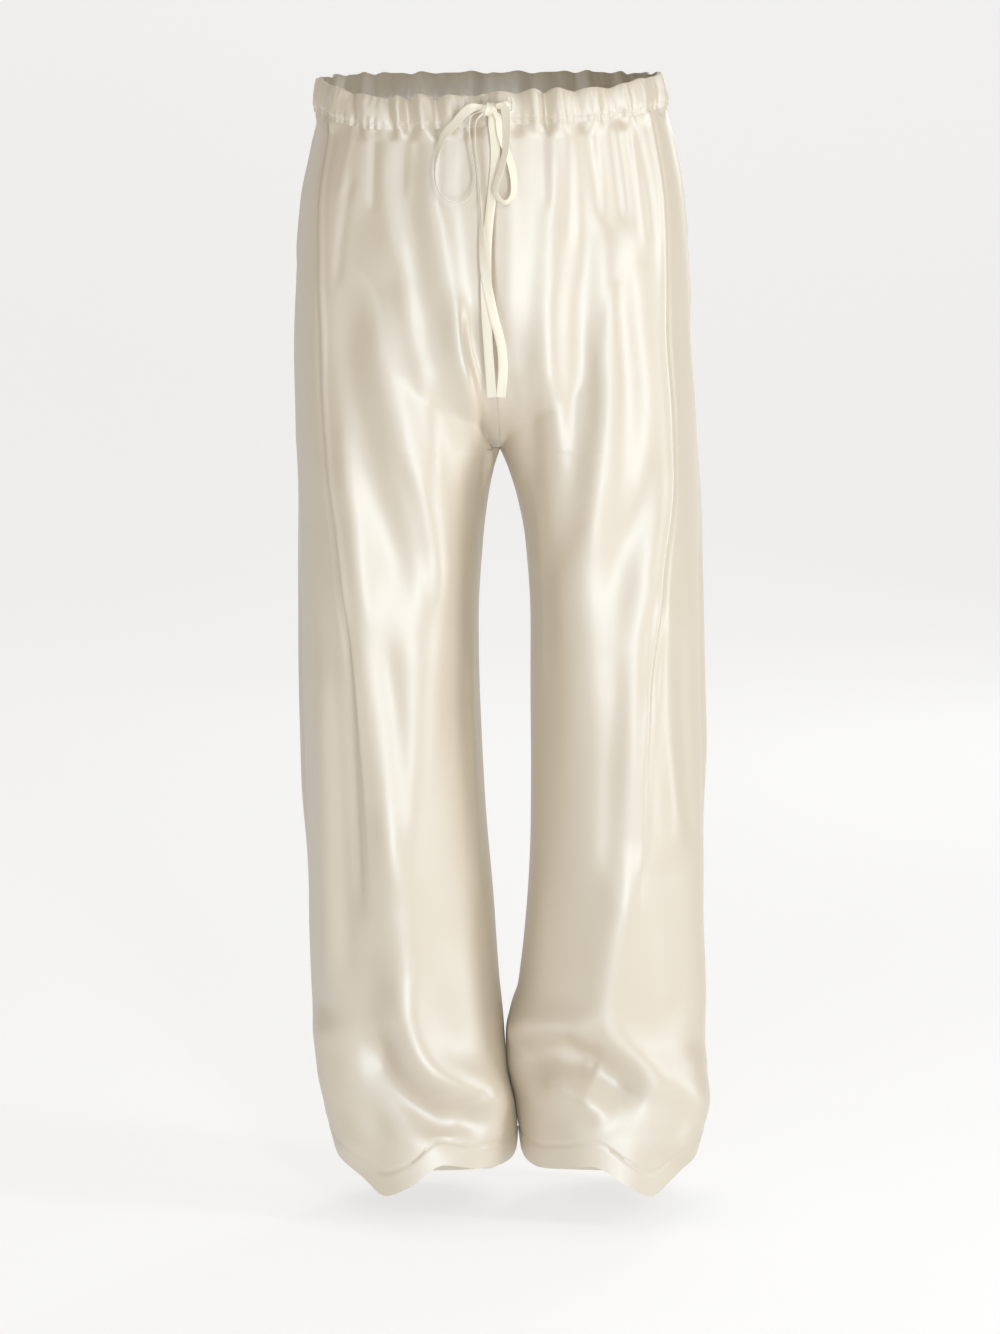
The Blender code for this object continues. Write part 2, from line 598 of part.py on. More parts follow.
def smooth_path(knots, steps):
    """Points on a smooth curve through the knots, with as many steps from each to the next."""
    knots = np.array(knots, float)
    padded = np.concatenate([2 * knots[:1] - knots[1:2], knots, 2 * knots[-1:] - knots[-2:-1]])
    points = []
    for number in range(len(knots) - 1):
        before, start, end, after = padded[number : number + 4]
        for share in np.arange(steps) / steps:
            points.append(
                0.5 * (
                    2 * start
                    + (end - before) * share
                    + (2 * before - 5 * start + 4 * end - after) * share**2
                    + (3 * start - before - 3 * end + after) * share**3
                )
            )
    points.append(knots[-1])
    return np.array(points)


def line_lift(degrees, z, path, width):
    """The profile of one fold at every place of a grid: 1 on its line and 0 away from it."""
    scale = math.radians(1) * FOLD_RADIUS
    steps = np.diff(path, axis=0) * (1.0, scale)
    lengths = np.linalg.norm(steps, axis=1)
    walked = np.concatenate([[0.0], np.cumsum(lengths)])
    nearest = np.full(np.shape(z), np.inf)
    along = np.zeros(np.shape(z))
    for number, (down, round_leg) in enumerate(steps):
        from_z = z - path[number, 0]
        from_turn = ((degrees - path[number, 1] + 180) % 360 - 180) * scale
        share = np.clip((from_z * down + from_turn * round_leg) / lengths[number] ** 2, 0.0, 1.0)
        distance = np.hypot(from_z - share * down, from_turn - share * round_leg)
        closer = distance < nearest
        along = np.where(closer, (walked[number] + share * lengths[number]) / walked[-1], along)
        nearest = np.where(closer, distance, nearest)
    fade = smooth_step(0, FOLD_FADE, along) * smooth_step(0, FOLD_FADE, 1 - along)
    return np.exp(-((nearest / width) ** 2)) * fade


def fold_height(folds, side, turn, z):
    """How far the folds lift the cloth off its plain section."""
    degrees = np.degrees(turn)
    lift = np.zeros(np.shape(z))
    for fold in folds:
        if fold.side == side:
            path = smooth_path(fold.path, FOLD_STEPS)
            lift += fold.height * line_lift(degrees, z, path, fold.width)
    return lift


def surface(side, turn, z, folds):
    """Points on the outside of the cloth."""
    across, middle = leg_axis(side, z)
    reach = body_radius(side, turn, z) + fold_height(folds, side, turn, z)
    out = across - reach * np.cos(turn)
    x = smooth_table(LEAN, "x", z) + SIDES[side] * out
    return np.stack([x, middle - reach * np.sin(turn), z], axis=-1)


def shared_grids():
    """The outside points of each panel, the same along each seam on both its sides."""
    fork = ROWS_TO_CURVE + ROWS_ON_CURVE
    grids = {}
    for side in SIDES:
        for face in FACES:
            turn, z = panel_turns_and_heights(side, face)
            grids[face, side] = surface(side, turn, z, FOLDS)
    for face in FACES:
        left = grids[face, "left"][: fork + 1, 0]
        right = grids[face, "right"][: fork + 1, 0]
        middle = (left + right) / 2
        middle[:, 0] = smooth_table(LEAN, "x", middle[:, 2])
        left[:] = middle
        right[:] = middle
    for side in SIDES:
        grids["back", side][:, -1] = grids["front", side][:, -1]
        grids["back", side][fork:, 0] = grids["front", side][fork:, 0]
    return grids


def grid_triangles(rows, columns, start=0, flip=False):
    """The triangles of a grid of points that are numbered row by row from start."""
    top = (np.arange(rows - 1)[:, None] * columns + np.arange(columns - 1)[None, :]).ravel() + start
    first = np.stack([top, top + 1, top + columns + 1], axis=1)
    second = np.stack([top, top + columns + 1, top + columns], axis=1)
    triangles = np.concatenate([first, second])
    return triangles[:, ::-1] if flip else triangles


def shared_normals(grids):
    """Outward normals at every point of the panels, the same on both sides of a seam."""
    points = np.concatenate([grid.reshape(-1, 3) for grid in grids.values()])
    _, index = np.unique(points, axis=0, return_inverse=True)
    index = index.reshape(-1)
    sums = np.zeros((index.max() + 1, 3))
    start = 0
    for (face, side), grid in grids.items():
        rows, columns = grid.shape[:2]
        flip = SIDES[side] * FACES[face] > 0
        corners = grid_triangles(rows, columns, start, flip)
        a, b, c = (points[corners[:, corner]] for corner in range(3))
        area = np.cross(b - a, c - a)
        for corner in range(3):
            np.add.at(sums, index[corners[:, corner]], area)
        start += rows * columns
    normals = sums[index]
    normals /= np.linalg.norm(normals, axis=1)[:, None]
    split = np.cumsum([grid[..., 0].size for grid in grids.values()])[:-1]
    parts = np.split(normals, split)
    return {key: part.reshape(grids[key].shape) for key, part in zip(grids, parts)}


def trimmed(face, side, grid):
    """The panel's points, drawn back from its neighbours by half the seam gap."""
    fork = ROWS_TO_CURVE + ROWS_ON_CURVE
    half = SEAM_GAP / 2
    grid = grid.copy()
    grid[: fork + 1, 0, 0] = smooth_table(LEAN, "x", grid[: fork + 1, 0, 2]) + SIDES[side] * half
    for edge, inside, rows in ((0, 1, slice(fork, None)), (-1, -2, slice(None))):
        away = grid[rows, inside] - grid[rows, edge]
        grid[rows, edge] += half * away / np.linalg.norm(away, axis=-1)[:, None]
    return grid


def rim_triangles(loop, offset):
    """The strip that joins an edge loop of the outside to the same loop of the inside."""
    ahead = np.roll(loop, -1)
    first = np.stack([loop, ahead, ahead + offset], axis=1)
    second = np.stack([loop, ahead + offset, loop + offset], axis=1)
    return np.concatenate([first, second])


def rim_loop(rows, columns):
    """The numbers of a grid's edge points, once round."""
    grid = np.arange(rows * columns).reshape(rows, columns)
    return np.concatenate([grid[0, :-1], grid[:-1, -1], grid[-1, :0:-1], grid[:0:-1, 0]])


def wall_between(outside, inside):
    """A closed wall between two grids of points."""
    rows, columns = outside.shape[:2]
    count = rows * columns
    points = np.concatenate([outside.reshape(-1, 3), inside.reshape(-1, 3)])
    triangles = np.concatenate([
        grid_triangles(rows, columns),
        grid_triangles(rows, columns, count, flip=True),
        rim_triangles(rim_loop(rows, columns), count)[:, ::-1],
    ])
    return points, triangles


def closed_strip(outside, inside):
    """A closed ring-shaped wall between two grids whose last column meets the first."""
    rows, columns = outside.shape[:2]
    count = rows * columns
    points = np.concatenate([outside.reshape(-1, 3), inside.reshape(-1, 3)])
    here = np.arange(columns)
    ahead = np.roll(here, -1)
    triangles = []

    def add_quads(a, b, c, d):
        triangles.append(np.stack([a, b, c], axis=1))
        triangles.append(np.stack([a, c, d], axis=1))

    for row in range(rows - 1):
        top = row * columns
        low = top + columns
        add_quads(top + here, top + ahead, low + ahead, low + here)
        add_quads(count + low + here, count + low + ahead, count + top + ahead, count + top + here)
    last = (rows - 1) * columns
    add_quads(count + here, count + ahead, ahead, here)
    add_quads(last + here, last + ahead, count + last + ahead, count + last + here)
    return points, np.concatenate(triangles)


def back_gathers():
    """The waist's gathers behind, in turn out and in, none quite like the next."""
    step = (BACK_GATHERS_TO - BACK_GATHERS_FROM) / (BACK_GATHERS - 1)
    rows = []
    for side in SIDES:
        for number in range(BACK_GATHERS):
            wave = math.sin(BACK_GATHER_PHASE * number + SIDES[side])
            foot = BACK_GATHERS_FROM + (number + BACK_GATHER_SHIFT * wave) * step
            top = foot + BACK_GATHER_SLANT * wave
            height = BACK_GATHER_RIDGE if number % 2 else BACK_GATHER_VALLEY
            height *= 1 + BACK_GATHER_UNEVENNESS * wave
            path = ((BACK_GATHER_TOP_Z, top), (BACK_GATHER_FOOT_Z, foot))
            rows.append(Fold(side, BACK_GATHER_WIDTH, height, path))
    return rows


def casing_rows(side, face, shares):
    """The casing's turns and heights, from the line between the legs to the side seam."""
    columns = COLUMNS[face] * CASING_STEPS_PER_COLUMN
    z = CASING_FOOT_Z + (CASING_TOP_Z - CASING_FOOT_Z) * np.array(shares)[:, None]
    z = np.repeat(z, columns + 1, axis=1)
    seam = np.radians(smooth_table(SIDE_SEAM, side, z[:, 0]))
    if face == "back":
        seam = 2 * math.pi - seam
    start = first_turn(side, face, z[:, 0])
    turn = start[:, None] + (seam - start)[:, None] * np.linspace(0.0, 1.0, columns + 1)
    if face == "back":
        turn = 2 * math.pi - turn
    return turn, z + smooth_table(WAIST_RISE, side, np.degrees(turn))


def casing_walls(face):
    """The outside and inside points of one half of the casing, from side seam to side seam."""
    gathers = GATHERS + back_gathers()
    bases = {}
    lifts = {}
    for side in SIDES:
        turn, z = casing_rows(side, face, CASING_SHARES)
        bases[side] = surface(side, turn, z, FOLDS)
        lifts[side] = fold_height(gathers, side, turn, z)
    middle = (bases["left"][:, :1] + bases["right"][:, :1]) / 2
    lift = (lifts["left"][:, :1] + lifts["right"][:, :1]) / 2
    base = np.concatenate([bases["right"][:, :0:-1], middle, bases["left"][:, 1:]], axis=1)
    lift = np.concatenate([lifts["right"][:, :0:-1], lift, lifts["left"][:, 1:]], axis=1)
    along = np.gradient(base[..., :2], axis=1)
    normal = np.stack([along[..., 1], -along[..., 0], np.zeros(along.shape[:2])], axis=-1)
    normal *= FACES[face] / np.linalg.norm(normal, axis=-1)[..., None]
    bulge = np.array(CASING_BULGE)[:, None]
    outside = base + normal * (bulge + lift)[..., None]
    inside = base + normal * (bulge - CASING_WALL + INNER_GATHER_SHARE * lift)[..., None]
    for grid in (outside, inside):
        for edge, next_one in ((0, 1), (-1, -2)):
            away = grid[:, next_one] - grid[:, edge]
            grid[:, edge] += SEAM_GAP / 2 * away / np.linalg.norm(away, axis=-1)[:, None]
    return outside, inside


def turning_walls(side, inner, normals):
    """The turned-up hem: a ring that lies on the inside of one leg, from its edge up."""
    rings = []
    for out in (SEAM_GAP, SEAM_GAP + HEM_WALL):
        faces = {
            face: (inner[face, side] - out * normals[face, side])[-2:] for face in FACES
        }
        rings.append(np.concatenate([faces["front"], faces["back"][:, -2:0:-1]], axis=1))
    return rings


def smooth_route(rows):
    """Points, and the tape's turn at each, on a smooth curve through a route's own points."""
    knots = np.array([(row.x, row.y, row.z, row.face) for row in rows])
    points = smooth_path(knots, TAPE_STEPS)
    return points[:, :3], np.radians(points[:, 3])


def tape(rows, pinched_start, pinched_end, upright=False):
    """A flat tape along a route, drawn together where it goes into the knot."""
    centres, faces = smooth_route(rows)
    tangents = np.gradient(centres, axis=0)
    tangents /= np.linalg.norm(tangents, axis=1)[:, None]
    if upright:
        across = np.array([0.0, 0.0, 1.0]) - tangents[:, 2:] * tangents
    else:
        across = np.cross(tangents, [0.0, 1.0, 0.0])
    across /= np.linalg.norm(across, axis=1)[:, None]
    through = np.cross(tangents, across)
    cosine, sine = np.cos(faces)[:, None], np.sin(faces)[:, None]
    across, through = across * cosine + through * sine, through * cosine - across * sine
    walked = np.concatenate([[0.0], np.cumsum(np.linalg.norm(np.diff(centres, axis=0), axis=1))])
    width = np.full(len(centres), TAPE_WIDTH)
    for pinched, distance in ((pinched_start, walked), (pinched_end, walked[-1] - walked)):
        if pinched:
            width *= PINCH + (1 - PINCH) * smooth_step(0.0, PINCH_LENGTH, distance)
    wide = across * width[:, None] / 2
    thick = through * TAPE_THICKNESS / 2
    rings = np.stack([wide + thick, thick - wide, -wide - thick, wide - thick], axis=1)
    return tube_wall(centres[:, None] + rings)


def ring_triangles(corners, ring_pairs):
    """The triangles between each pair of rings of points, which are numbered ring by ring."""
    here = np.arange(corners)
    ahead = np.roll(here, -1)
    triangles = []
    for ring, next_ring in ring_pairs:
        a, b = ring * corners, next_ring * corners
        triangles.append(np.stack([a + here, a + ahead, b + ahead], axis=1))
        triangles.append(np.stack([a + here, b + ahead, b + here], axis=1))
    return triangles


def tube_wall(rings):
    """A solid through closed rings of points, with flat ends."""
    count, corners = rings.shape[:2]
    triangles = ring_triangles(corners, [(ring, ring + 1) for ring in range(count - 1)])
    for start, order in ((0, -1), ((count - 1) * corners, 1)):
        fan = np.array([[start, start + corner, start + corner + 1] for corner in range(1, corners - 1)])
        triangles.append(fan[:, ::order])
    return rings.reshape(-1, 3), np.concatenate(triangles)


def knot():
    """The bow's knot, a small rounded lump."""
    shape = bmesh.new()
    bmesh.ops.create_uvsphere(
        shape, u_segments=KNOT_SEGMENTS, v_segments=KNOT_RINGS, radius=1.0
    )
    bmesh.ops.triangulate(shape, faces=shape.faces)
    points = np.array([vertex.co for vertex in shape.verts])
    triangles = np.array([[vertex.index for vertex in face.verts] for face in shape.faces])
    shape.free()
    return points * KNOT_HALF_SIZE + KNOT_CENTRE, triangles


def buttonhole(x, z, casing):
    """A stitched ring round a slit, on the front of the casing."""
    centres = []
    half_run = (BUTTONHOLE_LENGTH - BUTTONHOLE_WIDTH) / 2
    for number in range(BUTTONHOLE_POINTS):
        angle = 2 * math.pi * number / BUTTONHOLE_POINTS
        up = math.sin(angle)
        point_x = x + BUTTONHOLE_WIDTH / 2 * math.cos(angle)
        straight = math.copysign(half_run, up) * min(1, BUTTONHOLE_STEEPNESS * abs(up))
        point_z = z + BUTTONHOLE_WIDTH / 2 * up + straight
        rows_y = [np.interp(point_x, row[:, 0], row[:, 1]) for row in casing]
        rows_z = [np.interp(point_x, row[:, 0], row[:, 2]) for row in casing]
        y = np.interp(point_z, rows_z, rows_y) - BUTTONHOLE_THREAD / 2 - SEAM_GAP
        centres.append((point_x, y, point_z))
    centres = np.array(centres)
    tangents = np.roll(centres, -1, axis=0) - np.roll(centres, 1, axis=0)
    tangents /= np.linalg.norm(tangents, axis=1)[:, None]
    outward = np.cross(tangents, [0.0, 1.0, 0.0])
    outward /= np.linalg.norm(outward, axis=1)[:, None]
    rings = []
    for corner in range(BUTTONHOLE_SIDES):
        angle = 2 * math.pi * corner / BUTTONHOLE_SIDES
        offset = outward * math.cos(angle) + np.array([0.0, math.sin(angle), 0.0])
        rings.append(centres + offset * BUTTONHOLE_THREAD / 2)
    rings = np.stack(rings, axis=1)
    pairs = [(ring, (ring + 1) % BUTTONHOLE_POINTS) for ring in range(BUTTONHOLE_POINTS)]
    return rings.reshape(-1, 3), np.concatenate(ring_triangles(BUTTONHOLE_SIDES, pairs))


def add_node(name, points, triangles, material):
    """One closed solid, shaded smooth except at its edges."""
    mesh = bpy.data.meshes.new(name)
    mesh.from_pydata(points.tolist(), [], triangles.tolist())
    corners = points[triangles]
    volume = np.einsum("ij,ij->i", corners[:, 0], np.cross(corners[:, 1], corners[:, 2])).sum()
    if volume < 0:
        mesh.flip_normals()
    mesh.shade_smooth()
    mesh.set_sharp_from_angle(angle=math.radians(SHARP_EDGE_DEGREES))
    mesh.materials.append(material)
    node = bpy.data.objects.new(name, mesh)
    bpy.context.scene.collection.objects.link(node)
    return node


def cloth_material(name, color, roughness):
    material = bpy.data.materials.new(name)
    material.use_nodes = True
    shader = material.node_tree.nodes["Principled BSDF"]
    shader.inputs["Base Color"].default_value = (*color, 1.0)
    shader.inputs["Roughness"].default_value = roughness
    shader.inputs["Metallic"].default_value = 0.0
    return material


def clear_scene():
    for thing in list(bpy.data.objects):
        bpy.data.objects.remove(thing)


def main():
    clear_scene()
    satin = cloth_material("satin", SATIN, SATIN_ROUGHNESS)
    drawstring = cloth_material("drawstring", TAPE, TAPE_ROUGHNESS)
    thread = cloth_material("thread", THREAD, THREAD_ROUGHNESS)
    grids = shared_grids()
    normals = shared_normals(grids)
    inner = {key: grids[key] - WALL * normals[key] for key in grids}
    for face, side in grids:
        # Both faces' columns run the same way round the leg, so that the turnings fit against them.
        way = slice(None, None, FACES[face])
        outside = trimmed(face, side, grids[face, side])[:, way]
        inside = trimmed(face, side, inner[face, side])[:, way]
        add_node(f"{face}_panel_{side}", *wall_between(outside, inside), satin)
    for side in SIDES:
        add_node(f"hem_turning_{side}", *closed_strip(*turning_walls(side, inner, normals)), satin)
    for face in FACES:
        outside, inside = casing_walls(face)
        add_node(f"waist_casing_{face}", *wall_between(outside, inside), satin)
        if face == "front":
            for side, (x, z) in BUTTONHOLES.items():
                add_node(f"buttonhole_{side}", *buttonhole(x, z, outside), thread)
    add_node("drawstring_knot", *knot(), drawstring)
    for side in SIDES:
        add_node(f"drawstring_lead_{side}", *tape(LEADS[side], True, True, upright=True), drawstring)
        add_node(f"drawstring_loop_{side}", *tape(LOOPS[side], True, True), drawstring)
        add_node(f"drawstring_tail_{side}", *tape(TAILS[side], True, False), drawstring)


main()
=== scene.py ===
"""Wide-leg drawstring trousers in cream satin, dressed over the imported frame.

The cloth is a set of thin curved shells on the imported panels' own form, with the creases, the
waist's gathers, the seams and the stitches of the real garment. Left and right are the wearer's.
Metres, +Z up, the front faces -Y. The camera and the drawstring come first, then the cloth.
"""

import math
from collections import namedtuple

import bpy
import numpy as np
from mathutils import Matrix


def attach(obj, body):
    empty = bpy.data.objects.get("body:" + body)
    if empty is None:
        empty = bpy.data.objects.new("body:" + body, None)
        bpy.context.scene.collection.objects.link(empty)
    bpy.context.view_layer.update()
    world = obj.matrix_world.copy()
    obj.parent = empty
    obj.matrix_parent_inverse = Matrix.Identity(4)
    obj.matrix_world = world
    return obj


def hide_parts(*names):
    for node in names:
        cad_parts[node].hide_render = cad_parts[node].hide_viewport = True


# The folds and the drawstring's route are given in millimetres.
MM_PER_M = 1000

# The photograph's view.
CAMERA_PLACE = (0.0, -4.2, -0.05)
CAMERA_DOWN_DEGREES = 7.15
CAMERA_LENS_MM = 110.0

# The floor and the backdrop that it curves up into.
FLOOR_Z = -1.145
FLOOR_REACH = 9.0
BACKDROP_Y = 6.0
BACKDROP_HEIGHT = 7.0
BACKDROP_CURVE = 2.0
BACKDROP_STEPS = 12
STUDIO_COLOR = (0.37, 0.37, 0.37, 1.0)
STUDIO_GLOW = 1.76
STUDIO_ROUGHNESS = 0.9
STUDIO_SPECULAR = 0.1

# The light.
SURROUND_COLOR = (1.0, 0.925, 0.80, 1.0)
SURROUND_STRENGTH = 0.34
LAMP_COLOR = (0.93, 0.965, 1.0)
Lamp = namedtuple("Lamp", "name place target width height watts")
LAMPS = [
    Lamp("key_lamp", (0.8, -3.9, 0.4), (0.0, 0.0, -0.55), 0.45, 2.6, 48.0),
    Lamp("left_lamp", (-1.5, -3.2, 0.6), (-0.1, 0.0, -0.4), 0.5, 2.0, 15.0),
    Lamp("low_lamp", (0.5, -3.0, -0.85), (0.0, 0.0, -1.0), 0.5, 0.5, 13.0),
    Lamp("side_lamp", (2.2, -0.8, 0.0), (0.0, 0.0, -0.55), 0.35, 2.2, 24.0),
    Lamp("back_lamp", (1.6, 3.6, 1.1), (0.0, 0.0, -0.5), 0.5, 2.2, 26.0),
    Lamp("top_lamp", (0.0, -0.2, 2.6), (0.0, 0.0, -0.6), 2.4, 1.6, 9.0),
]

# The look of each cloth. Gloss is its index of refraction, and weave and crinkle are how strongly
# both show in the bump.
Cloth = namedtuple("Cloth", "name color roughness gloss weave crinkle")
SATIN = Cloth("satin_cloth", (0.625, 0.523, 0.39), 0.47, 2.7, 0.10, 0.22)
DOUBLED_SATIN = Cloth("doubled_satin", (0.76, 0.70, 0.57), 0.48, 1.5, 0.14, 0.20)
TAPE_SATIN = Cloth("tape_satin", (0.80, 0.74, 0.61), 0.42, 1.6, 0.25, 0.15)
THREAD = Cloth("sewing_thread", (0.74, 0.69, 0.58), 0.6, 1.45, 0.4, 0.1)
GLOSS_TINT = (0.78, 0.91, 1.0, 1.0)
SHEEN = 0.15
SHEEN_ROUGHNESS = 0.4
SHEEN_TINT = (1.0, 0.96, 0.86, 1.0)
TONE_SCALE = 5.0
TONE_CHANGE = 0.03
ROUGHNESS_CHANGE = 0.04
CRINKLE_SCALE = 38.0
CRINKLE_STRETCH = (1.0, 1.0, 0.28)
CRINKLE_DEPTH = 0.0012
CRINKLE_DETAIL = 2.0
CRINKLE_ROUGHNESS = 0.45
WEAVE_SCALE = 420.0
WEAVE_DEPTH = 0.00012
WEAVE_DISTORTION = 1.2
SHARP_EDGE_DEGREES = 50

# The cloth's shape.
SHELL = 0.0009
CROTCH_Z = -0.348
HEM_Z = -1.110
BREAK_TOP_Z = -0.880
CASING_TOP_Z = 0.013
CASING_FOOT_Z = -0.019
CASING_WALL = 0.0022
HEM_DEPTH = 0.024
RISE_CURVE = 0.090
SECTION_POWER = 2.15
BLEND = 0.050
BLEND_STARTS = -0.3
BLEND_IS_FULL = 0.6
WAIST_RISE_ENDS_Z = -0.16
HEM_SHAPE_STARTS_Z = -0.78
FOLD_RADIUS = 0.100
FOLD_FADE = 0.2
SEARCH_STEPS = 30
MOST_REACH = 0.5
LEAST = 1e-6

# Rows of points down a panel, and columns from its middle or inseam edge to the side seam.
ROWS_TO_CURVE = 84
ROWS_ON_CURVE = 30
ROWS_TO_BREAK = 120
ROWS_TO_TURNING = 74
ROWS_ON_TURNING = 9
COLUMNS = {"front": 88, "back": 112}
EDGE_COLUMNS = 5
EDGE_COLUMN_SHARE = 0.0045
WAIST_ROW_POWER = 1.25
MIDDLE_BLEND = 0.10

# The sign of x on each side, and the way out of each face.
SIDES = {"left": 1, "right": -1}
FACES = {"front": 1, "back": -1}

# The folds' spacing and softness, and the groove and ridge of the pressed seams.
FOLD_STEPS = 5
FOLD_SOFTNESS = 1.35
SEAM_GROOVE = 0.0011
SEAM_GROOVE_DEPTH = 0.0012
SEAM_RIDGE_AT = 0.0045
SEAM_RIDGE = 0.0036
SEAM_RIDGE_HEIGHT = 0.0008
SEAM_FADES_Z = -0.46
SEAM_FADE = 0.40
SIDE_SEAM_RIDGE = {"front": 0.0022, "back": -0.0014}
MIDDLE_SEAM_SHARE = 0.8

# The waist casing, a tunnel between its folded top edge and the stitch line at its foot.
CASING_ROWS = 16
CASING_COLUMNS = {"front": 168, "back": 216}
CASING_BULGE = 0.0030
CASING_STITCH_SHARE = 0.12
CASING_STITCH_DEPTH = 0.0012
CASING_STITCH_WIDTH = 0.06
PUCKER_HEIGHT = 0.0006
CASING_WAVE = 0.5
WAVE_REACH = 0.016
TOP_TUCK = 0.0008
CASING_ROUNDNESS = 0.7
CASING_INNER_SHARE = 0.6

# The puckers: waves round the waist, each bent by a slower one, along two lines of the casing.
PuckerWave = namedtuple("PuckerWave", "strength count bend bend_count shift")
PUCKER_WAVES = [PuckerWave(1.0, 61, 2, 7, 1), PuckerWave(0.6, 103, 3, 5, 0)]
PuckerLine = namedtuple("PuckerLine", "share reach strength")
PUCKER_LINES = [PuckerLine(CASING_STITCH_SHARE, 0.22, 1.0), PuckerLine(1.0, 0.25, 0.7)]

# The turned-up hem inside each leg, and its stitch line on the outside.
HEM_INNER_GAP = 0.0010
HEM_SHELL = 0.0006
HEM_STITCH_DEPTH = 0.0009
HEM_BAND_RISE = 0.0005

# Stitches: thread length, gap and thickness.
STITCH_LENGTH = 0.0022
STITCH_STEP = 0.0031
STITCH_THICKNESS = 0.00022
STITCH_CORNERS = 5

# A stitch's rings: their place along it, and their rise and size in thicknesses.
StitchRing = namedtuple("StitchRing", "share rise size")
STITCH_RINGS = [
    StitchRing(0.0, -0.4, 0.5),
    StitchRing(0.2, 0.5, 1.0),
    StitchRing(0.8, 0.5, 1.0),
    StitchRing(1.0, -0.4, 0.5),
]

# The flat drawstring.
TAPE_WIDTH = 0.0095
TAPE_THICKNESS = 0.0011
TAPE_STEP = 0.0015
TAPE_SIDES = 12
TAPE_EDGE_ROUNDNESS = 0.55
TAPE_MIDDLE = 0.72
TAPE_EDGE_RISE = 0.28
TAPE_EDGE_GROWTH = 3
TAPE_CURL = 0.0005
TAPE_CURL_LENGTH = 0.021
ROUTE_STEPS = 12
LEAST_TAPE_STEPS = 4
PLEAT_HEIGHT = 0.0011
PINCH = 0.55
PINCH_LENGTH = 0.014
INTO_KNOT = 0.002

# The knot: a pleated lump, with one turn of the tape over it.
KNOT_CENTRE = (-0.0109, -0.1262, -0.0044)
KNOT_HALF_SIZE = (0.0080, 0.0052, 0.0056)
KNOT_RINGS = 26
KNOT_CORNERS = 40
KNOT_END_GAP = 0.4
KNOT_ROUNDNESS = 0.75
KNOT_PLEATS = 5
KNOT_PLEAT_DEPTH = 0.07
KNOT_PLEAT_TWIST = 2.4
KNOT_CREASES = 9
KNOT_CREASE_DEPTH = 0.04
KNOT_BAND_HALF_SIZE = (0.0034, 0.0060, 0.0066)
KNOT_BAND_TILT = 14
KNOT_BAND_THICKNESS = 0.0011
KNOT_BAND_STEPS = 56
KNOT_BAND_WAVES = 3
KNOT_BAND_WAVER = 0.12
KNOT_BAND_PLEAT = 0.0004

# The buttonholes, and where the tape leaves them: x and z.
BUTTONHOLE_LENGTH = 0.012
BUTTONHOLE_WIDTH = 0.0030
BUTTONHOLE_STITCHES = 44
BUTTONHOLE_THREAD = 0.00045
BUTTONHOLE_STITCH = 0.0018
BUTTONHOLE_SPREAD = 2.5
BUTTONHOLE_RISE = 0.0003
BUTTONHOLE_COLUMNS = 60
BUTTONHOLES = {"right": (-0.0178, 0.0030), "left": (0.0099, 0.0004)}

# How far the line between the legs leans to the wearer's left.
Lean = namedtuple("Lean", "z x")
LEAN = [
    Lean(0.06, -0.010),
    Lean(-0.10, -0.008),
    Lean(-0.22, -0.007),
    Lean(-0.348, 0.000),
    Lean(-0.45, 0.0045),
    Lean(-0.57, 0.005),
    Lean(-0.70, 0.008),
    Lean(-0.82, 0.011),
    Lean(-0.91, 0.0095),
    Lean(-0.96, 0.0055),
    Lean(-0.993, 0.007),
    Lean(-1.036, 0.016),
    Lean(-1.07, 0.0195),
    Lean(-1.16, 0.020),
]

# The seat and hips, from the waist to the fork: depth in front of and behind the side seams.
Hips = namedtuple("Hips", "z front back")
HIPS = [
    Hips(0.06, 0.108, 0.108),
    Hips(0.00, 0.112, 0.113),
    Hips(-0.06, 0.116, 0.123),
    Hips(-0.14, 0.119, 0.132),
    Hips(-0.24, 0.112, 0.131),
    Hips(-0.36, 0.098, 0.112),
]

# Level sections of the legs. The inner and outer edges are measured from the line between the
# legs, girth is the length of cloth round the leg, and middle is how far behind the side seams
# the section's middle lies.
Leg = namedtuple("Leg", "z inner left_outer right_outer girth middle")
LEGS = [
    Leg(0.06, -0.020, 0.170, 0.172, 0.560, 0.000),
    Leg(0.011, -0.020, 0.1745, 0.1745, 0.580, 0.000),
    Leg(-0.034, -0.020, 0.185, 0.181, 0.600, 0.002),
    Leg(-0.095, -0.020, 0.195, 0.194, 0.640, 0.006),
    Leg(-0.20, -0.024, 0.2015, 0.203, 0.712, 0.011),
    Leg(-0.30, -0.014, 0.203, 0.208, 0.720, 0.011),
    Leg(-0.348, 0.000, 0.202, 0.210, 0.705, 0.011),
    Leg(-0.370, 0.008, 0.202, 0.210, 0.696, 0.0105),
    Leg(-0.403, 0.0162, 0.202, 0.2105, 0.681, 0.010),
    Leg(-0.445, 0.0225, 0.201, 0.2115, 0.668, 0.009),
    Leg(-0.528, 0.0275, 0.202, 0.2105, 0.648, 0.008),
    Leg(-0.653, 0.026, 0.203, 0.210, 0.630, 0.007),
    Leg(-0.738, 0.0235, 0.203, 0.210, 0.621, 0.006),
    Leg(-0.822, 0.018, 0.202, 0.211, 0.616, 0.005),
    Leg(-0.908, 0.0105, 0.2065, 0.2075, 0.613, 0.004),
    Leg(-0.960, 0.0015, 0.210, 0.200, 0.611, 0.001),
    Leg(-0.993, 0.0004, 0.208, 0.198, 0.609, -0.003),
    Leg(-1.036, 0.0004, 0.201, 0.200, 0.607, -0.008),
    Leg(-1.060, 0.0010, 0.194, 0.197, 0.604, -0.011),
    Leg(-1.100, 0.0060, 0.183, 0.187, 0.598, -0.011),
    Leg(-1.140, 0.0160, 0.172, 0.176, 0.592, -0.009),
]

